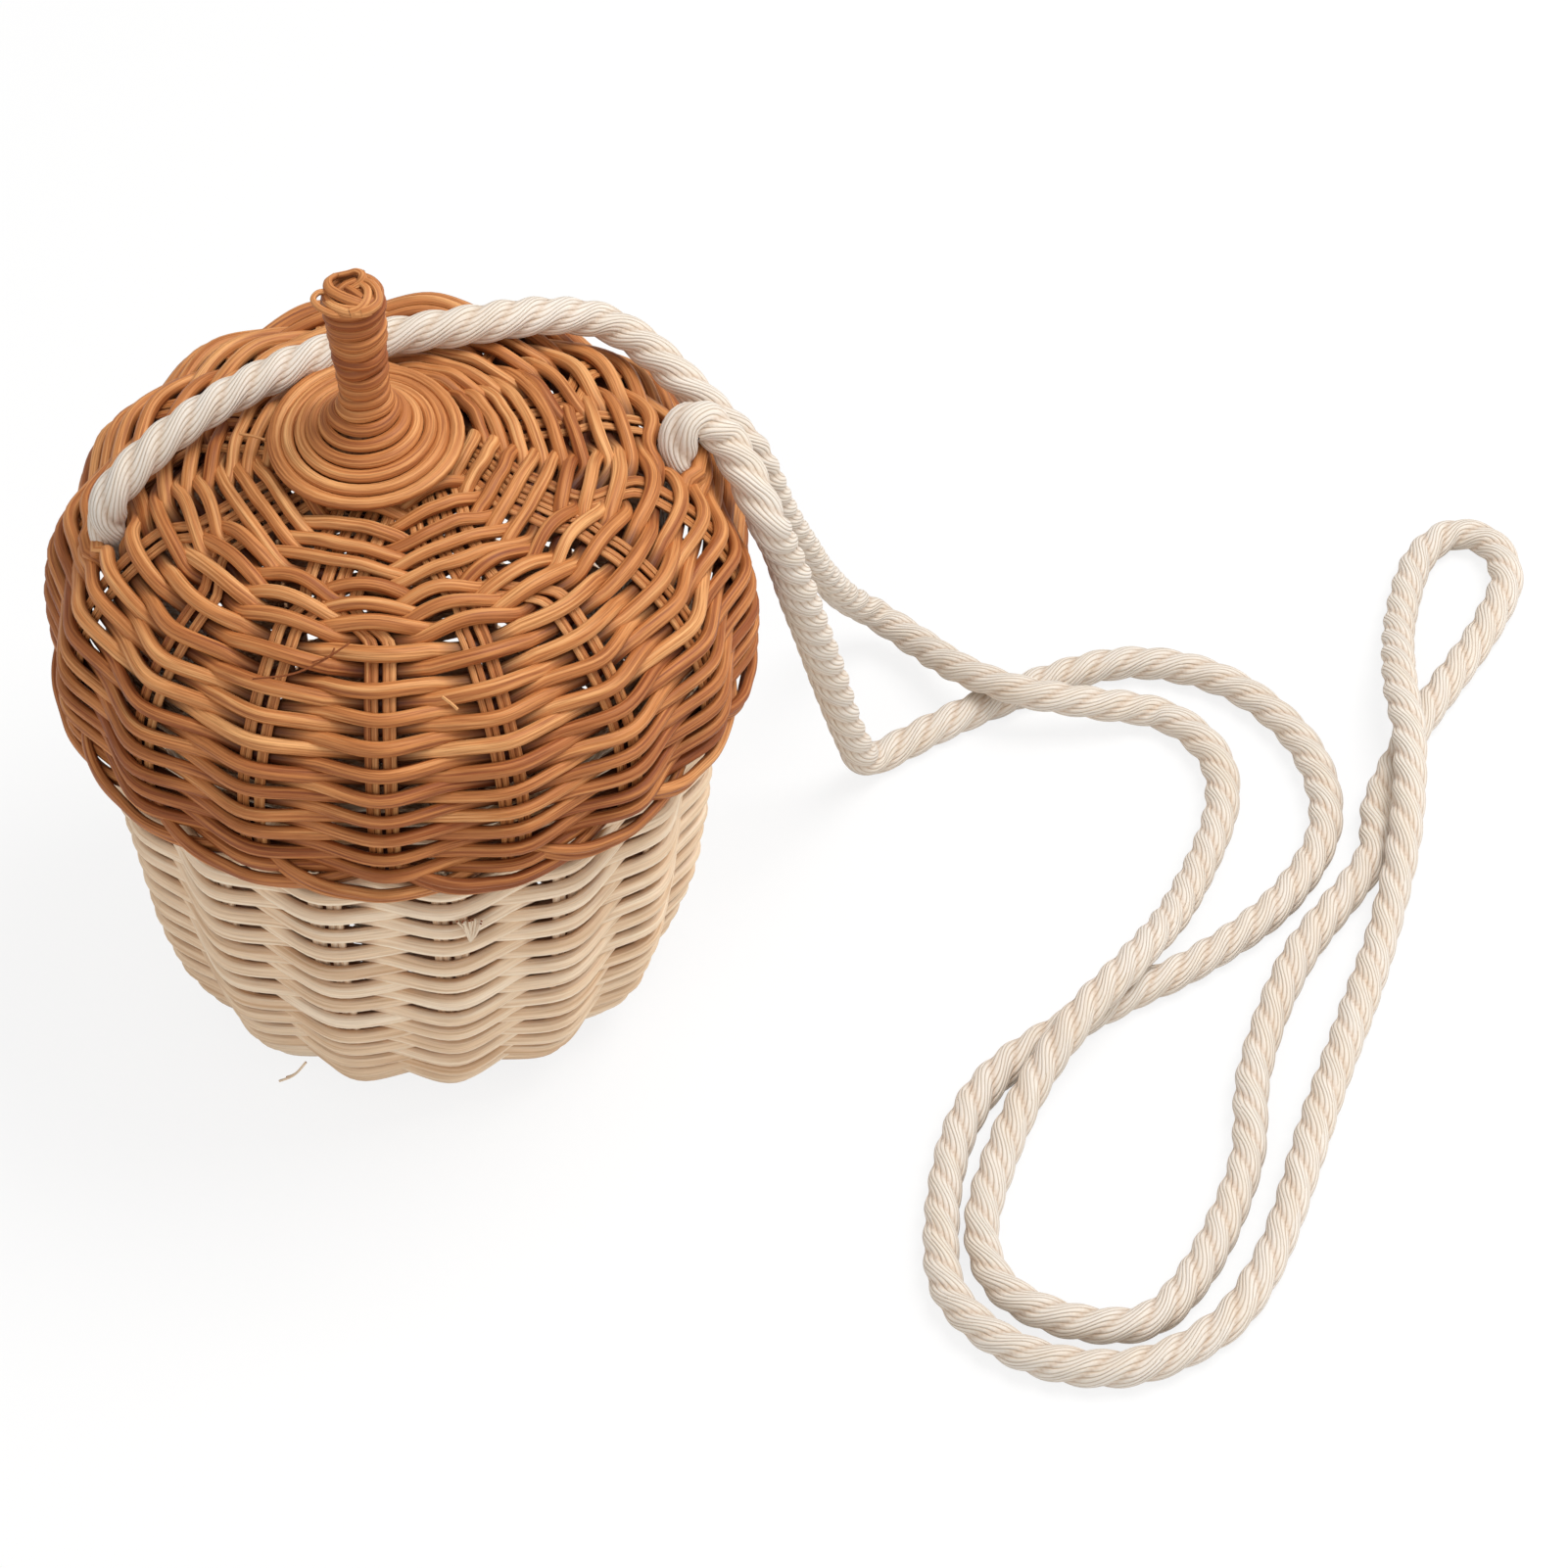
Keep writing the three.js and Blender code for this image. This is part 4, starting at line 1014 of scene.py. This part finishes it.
def strand_map(tree):
    """The place along a strand, the place round it and how deep it lies."""
    split = add(tree, "SeparateXYZ")
    tree.links.new(add(tree, "UVMap", uv_map="strand").outputs[0], split.inputs[0])
    depth = add(tree, "Attribute", attribute_name="deep").outputs["Fac"]
    return split.outputs[0], split.outputs[1], depth


def add_bump(tree, shader, height, strength, distance):
    bump = add(tree, "Bump")
    bump.inputs["Strength"].default_value = strength
    bump.inputs["Distance"].default_value = distance
    tree.links.new(height, bump.inputs["Height"])
    tree.links.new(bump.outputs[0], shader.inputs["Normal"])


def strand_noise(tree, u, v, across, along, shift, detail=3.0):
    combine = add(tree, "CombineXYZ")
    tree.links.new(times(tree, u, along), combine.inputs[0])
    tree.links.new(times(tree, v, across), combine.inputs[1])
    combine.inputs[2].default_value = shift
    noise = add(tree, "TexNoise")
    noise.inputs["Scale"].default_value = 1.0
    noise.inputs["Detail"].default_value = detail
    tree.links.new(combine.outputs[0], noise.inputs["Vector"])
    return noise.outputs["Fac"]


def ramp(tree, source, stops):
    node = add(tree, "ValToRGB")
    elements = node.color_ramp.elements
    while len(elements) < len(stops):
        elements.new(0.5)
    for element, (position, colour) in zip(elements, stops):
        element.position = position
        element.color = colour
    tree.links.new(source, node.inputs[0])
    return node.outputs[0]


def mix(tree, blend, factor, first, second):
    node = add(tree, "Mix", data_type="RGBA", blend_type=blend)
    for index, value in ((0, factor), (6, first), (7, second)):
        if isinstance(value, (int, float, list)):
            node.inputs[index].default_value = value
        else:
            tree.links.new(value, node.inputs[index])
    return node.outputs[2]


def rattan(name, light, middle, dark, deep, roughness, behind_shade, inside_shade, lean, edge,
           grain_share):
    """Streaky cane: u runs along the strand, v goes round it from its inside by way of its top."""
    material, tree, shader = new_material(name)
    u, v, depth = strand_map(tree)
    tint = add(tree, "Attribute", attribute_name="tint").outputs["Fac"]
    streaks = strand_noise(tree, u, v, across=12.0, along=24.0, shift=0.3)
    grain = strand_noise(tree, u, v, across=26.0, along=95.0, shift=4.1)
    patches = strand_noise(tree, u, v, across=1.6, along=26.0, shift=9.7, detail=2.0)
    # tint is each strand's own tone, and on the lid's low rows, rim and stalk also painted shade
    tinted = times(tree, minus(tree, tint, 0.5), 0.14)
    tone = plus(tree, weighed(tree, streaks, 0.62, patches), tinted)
    colour = ramp(tree, tone, [(0.32, linear(dark)), (0.49, linear(middle)), (0.66, linear(light))])
    fine = ramp(tree, grain, [(0.38, [0.66, 0.56, 0.47, 1]), (0.50, [0.97, 0.96, 0.95, 1]),
                              (0.62, [1.1, 1.1, 1.1, 1])])
    colour = mix(tree, "MULTIPLY", grain_share, colour, fine)
    # Painted shade: darker where a strand runs behind the stakes, and on its inside; lean moves it
    # round onto the top
    painted_shade = times(tree, minus(tree, depth, 0.6), behind_shade / 0.4)
    facing = math_node(tree, "ABSOLUTE", minus(tree, times(tree, v, 2.0), 1 + lean))
    inner = times(tree, minus(tree, facing, 0.45), inside_shade / 0.55)
    painted_shade = math_node(tree, "MAXIMUM", math_node(tree, "MAXIMUM", painted_shade, inner), 0.0)
    colour = mix(tree, "MIX", painted_shade, colour, linear(deep))
    if edge:
        # A painted highlight: a pale line along the lower edge, standing in for light bounced up
        # from the floor
        off = math_node(tree, "ABSOLUTE", minus(tree, v, 0.56))
        line = minus(tree, 1.0, times(tree, off, 1 / 0.07))
        line = times(tree, math_node(tree, "MAXIMUM", line, 0.0), edge)
        colour = mix(tree, "MIX", line, colour, linear((252, 240, 218)))
    tree.links.new(colour, shader.inputs["Base Color"])
    shader.inputs["Specular IOR Level"].default_value = 0.3
    rough = plus(tree, times(tree, streaks, 0.25), roughness - 0.12)
    tree.links.new(rough, shader.inputs["Roughness"])
    add_bump(tree, shader, weighed(tree, streaks, 0.8, grain), 0.8, 0.0004)
    return material


def cotton_rope():
    material, tree, shader = new_material("cotton_rope")
    u, v, depth = strand_map(tree)
    drift = strand_noise(tree, u, v, across=0.35, along=60.0, shift=5.1, detail=2.0)
    fibres = strand_noise(tree, u, v, across=3.2, along=150.0, shift=0.3)
    patches = strand_noise(tree, u, v, across=0.2, along=40.0, shift=3.3, detail=2.0)
    yarn = plus(tree, v, times(tree, drift, 0.9))
    wave = math_node(tree, "SINE", times(tree, yarn, math.pi))
    wave = math_node(tree, "POWER", math_node(tree, "ABSOLUTE", wave), 0.55)
    lines = weighed(tree, wave, 0.62, fibres)
    # Painted shade in the grooves between yarns: the ramp is darkest between them, mixed with the
    # fibres' own tone
    colour = ramp(tree, lines, [(0.24, linear((199, 173, 146))), (0.46, linear((221, 205, 187))),
                                (0.68, linear((229, 220, 209)))])
    warm = ramp(tree, patches, [(0.35, [0.97, 0.94, 0.90, 1]), (0.62, [1, 1, 1, 1])])
    colour = mix(tree, "MULTIPLY", 1.0, colour, warm)
    # Painted shade in the creases between the strands
    crease_shade = times(tree, depth, 0.6)
    colour = mix(tree, "MIX", crease_shade, colour, linear((186, 150, 116)))
    tree.links.new(colour, shader.inputs["Base Color"])
    shader.inputs["Roughness"].default_value = 0.92
    shader.inputs["Sheen Weight"].default_value = 0.2
    shader.inputs["Sheen Roughness"].default_value = 0.6
    shader.inputs["Specular IOR Level"].default_value = 0.2
    add_bump(tree, shader, lines, 0.75, 0.0006)
    return material


def wood_core():
    """For the peg under the winding, which has no strand map."""
    material, tree, shader = new_material("wood_core")
    place = add(tree, "TexCoord").outputs["Object"]
    stretch = add(tree, "Mapping")
    stretch.inputs["Scale"].default_value = (900, 900, 60)
    tree.links.new(place, stretch.inputs[0])
    noise = add(tree, "TexNoise")
    noise.inputs["Scale"].default_value = 1.0
    tree.links.new(stretch.outputs[0], noise.inputs["Vector"])
    colour = ramp(tree, noise.outputs["Fac"],
                  [(0.35, linear((112, 64, 30))), (0.65, linear((168, 108, 58)))])
    tree.links.new(colour, shader.inputs["Base Color"])
    shader.inputs["Roughness"].default_value = 0.6
    return material


def dress_node(name, material):
    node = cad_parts[name]
    node.data.materials.clear()
    node.data.materials.append(material)


# Floor and light

def make_floor():
    mesh = bpy.data.meshes.new("floor")
    corners = [(-1, -1), (1, -1), (1, 1), (-1, 1)]
    corners = [(FLOOR_REACH * x, FLOOR_REACH * y, 0) for x, y in corners]
    mesh.from_pydata(corners, [], [(0, 1, 2, 3)])
    floor = add_object("floor", mesh)
    material, tree, shader = new_material("floor")
    shader.inputs["Base Color"].default_value = (0.80, 0.80, 0.80, 1)
    shader.inputs["Roughness"].default_value = 0.9
    shader.inputs["Specular IOR Level"].default_value = 0.0
    # It glows for the camera, and is plain and grey for the light on the object
    rays = add(tree, "LightPath")
    shown = math_node(tree, "MAXIMUM", rays.outputs["Is Camera Ray"], rays.outputs["Is Glossy Ray"])
    shown = math_node(tree, "MAXIMUM", shown, rays.outputs["Is Transmission Ray"])
    glow = add(tree, "Emission")
    glow.inputs["Strength"].default_value = FLOOR_GLOW
    blend = add(tree, "MixShader")
    tree.links.new(times(tree, shown, FLOOR_GLOW_SHARE), blend.inputs[0])
    tree.links.new(shader.outputs[0], blend.inputs[1])
    tree.links.new(glow.outputs[0], blend.inputs[2])
    tree.links.new(blend.outputs[0], tree.nodes["Material Output"].inputs["Surface"])
    floor.data.materials.append(material)


def area_light(name, place, size, power, colour):
    data = bpy.data.lights.new(name, "AREA")
    data.size = size
    data.energy = power
    data.color = colour
    lamp = add_object(name, data)
    lamp.location = place
    away = Vector(LAMP_TARGET) - Vector(place)
    lamp.rotation_euler = away.to_track_quat("-Z", "Y").to_euler()


def make_lights():
    world = bpy.data.worlds.new("studio")
    world.use_nodes = True
    background = world.node_tree.nodes["Background"]
    background.inputs[0].default_value = (1, 1, 1, 1)
    background.inputs[1].default_value = WORLD_LIGHT
    bpy.context.scene.world = world
    bpy.context.scene.view_settings.view_transform = "Standard"
    area_light("key", (0.62, 0.18, 1.30), size=0.8, power=15.5, colour=(1.0, 0.985, 0.965))
    area_light("fill", (-0.6, -1.15, 0.9), size=1.0, power=4.3, colour=(1.0, 0.995, 0.985))
    area_light("side", (1.0, -0.35, 0.22), size=0.5, power=1.4, colour=(1.0, 0.985, 0.965))


# The object

make_camera()
make_strap(cotton_rope())
# deep is the colour of the painted shade in the weave's hollows and on the strands' insides, and
# edge the strength of a painted highlight on the cup strands' lower edges
STAINED = rattan(
    "stained_rattan", light=(226, 168, 110), middle=(194, 126, 71), dark=(146, 79, 37),
    deep=(60, 13, 3), roughness=0.55, behind_shade=0.94, inside_shade=0.6, lean=0.0, edge=0.0,
    grain_share=0.8,
)
NATURAL = rattan(
    "natural_rattan", light=(247, 228, 203), middle=(234, 206, 174), dark=(206, 168, 131),
    deep=(138, 66, 22), roughness=0.62, behind_shade=0.85, inside_shade=0.5, lean=0.14, edge=0.5,
    grain_share=0.3,
)
CUP = cup_profile()
LID = lid_profile()
make_lid(STAINED)
make_cup(NATURAL)
stalk_cane(STAINED)
stalk_rosette(STAINED)
stalk_binding(STAINED)
dress_node("stalk_peg", wood_core())
make_floor()
make_lights()
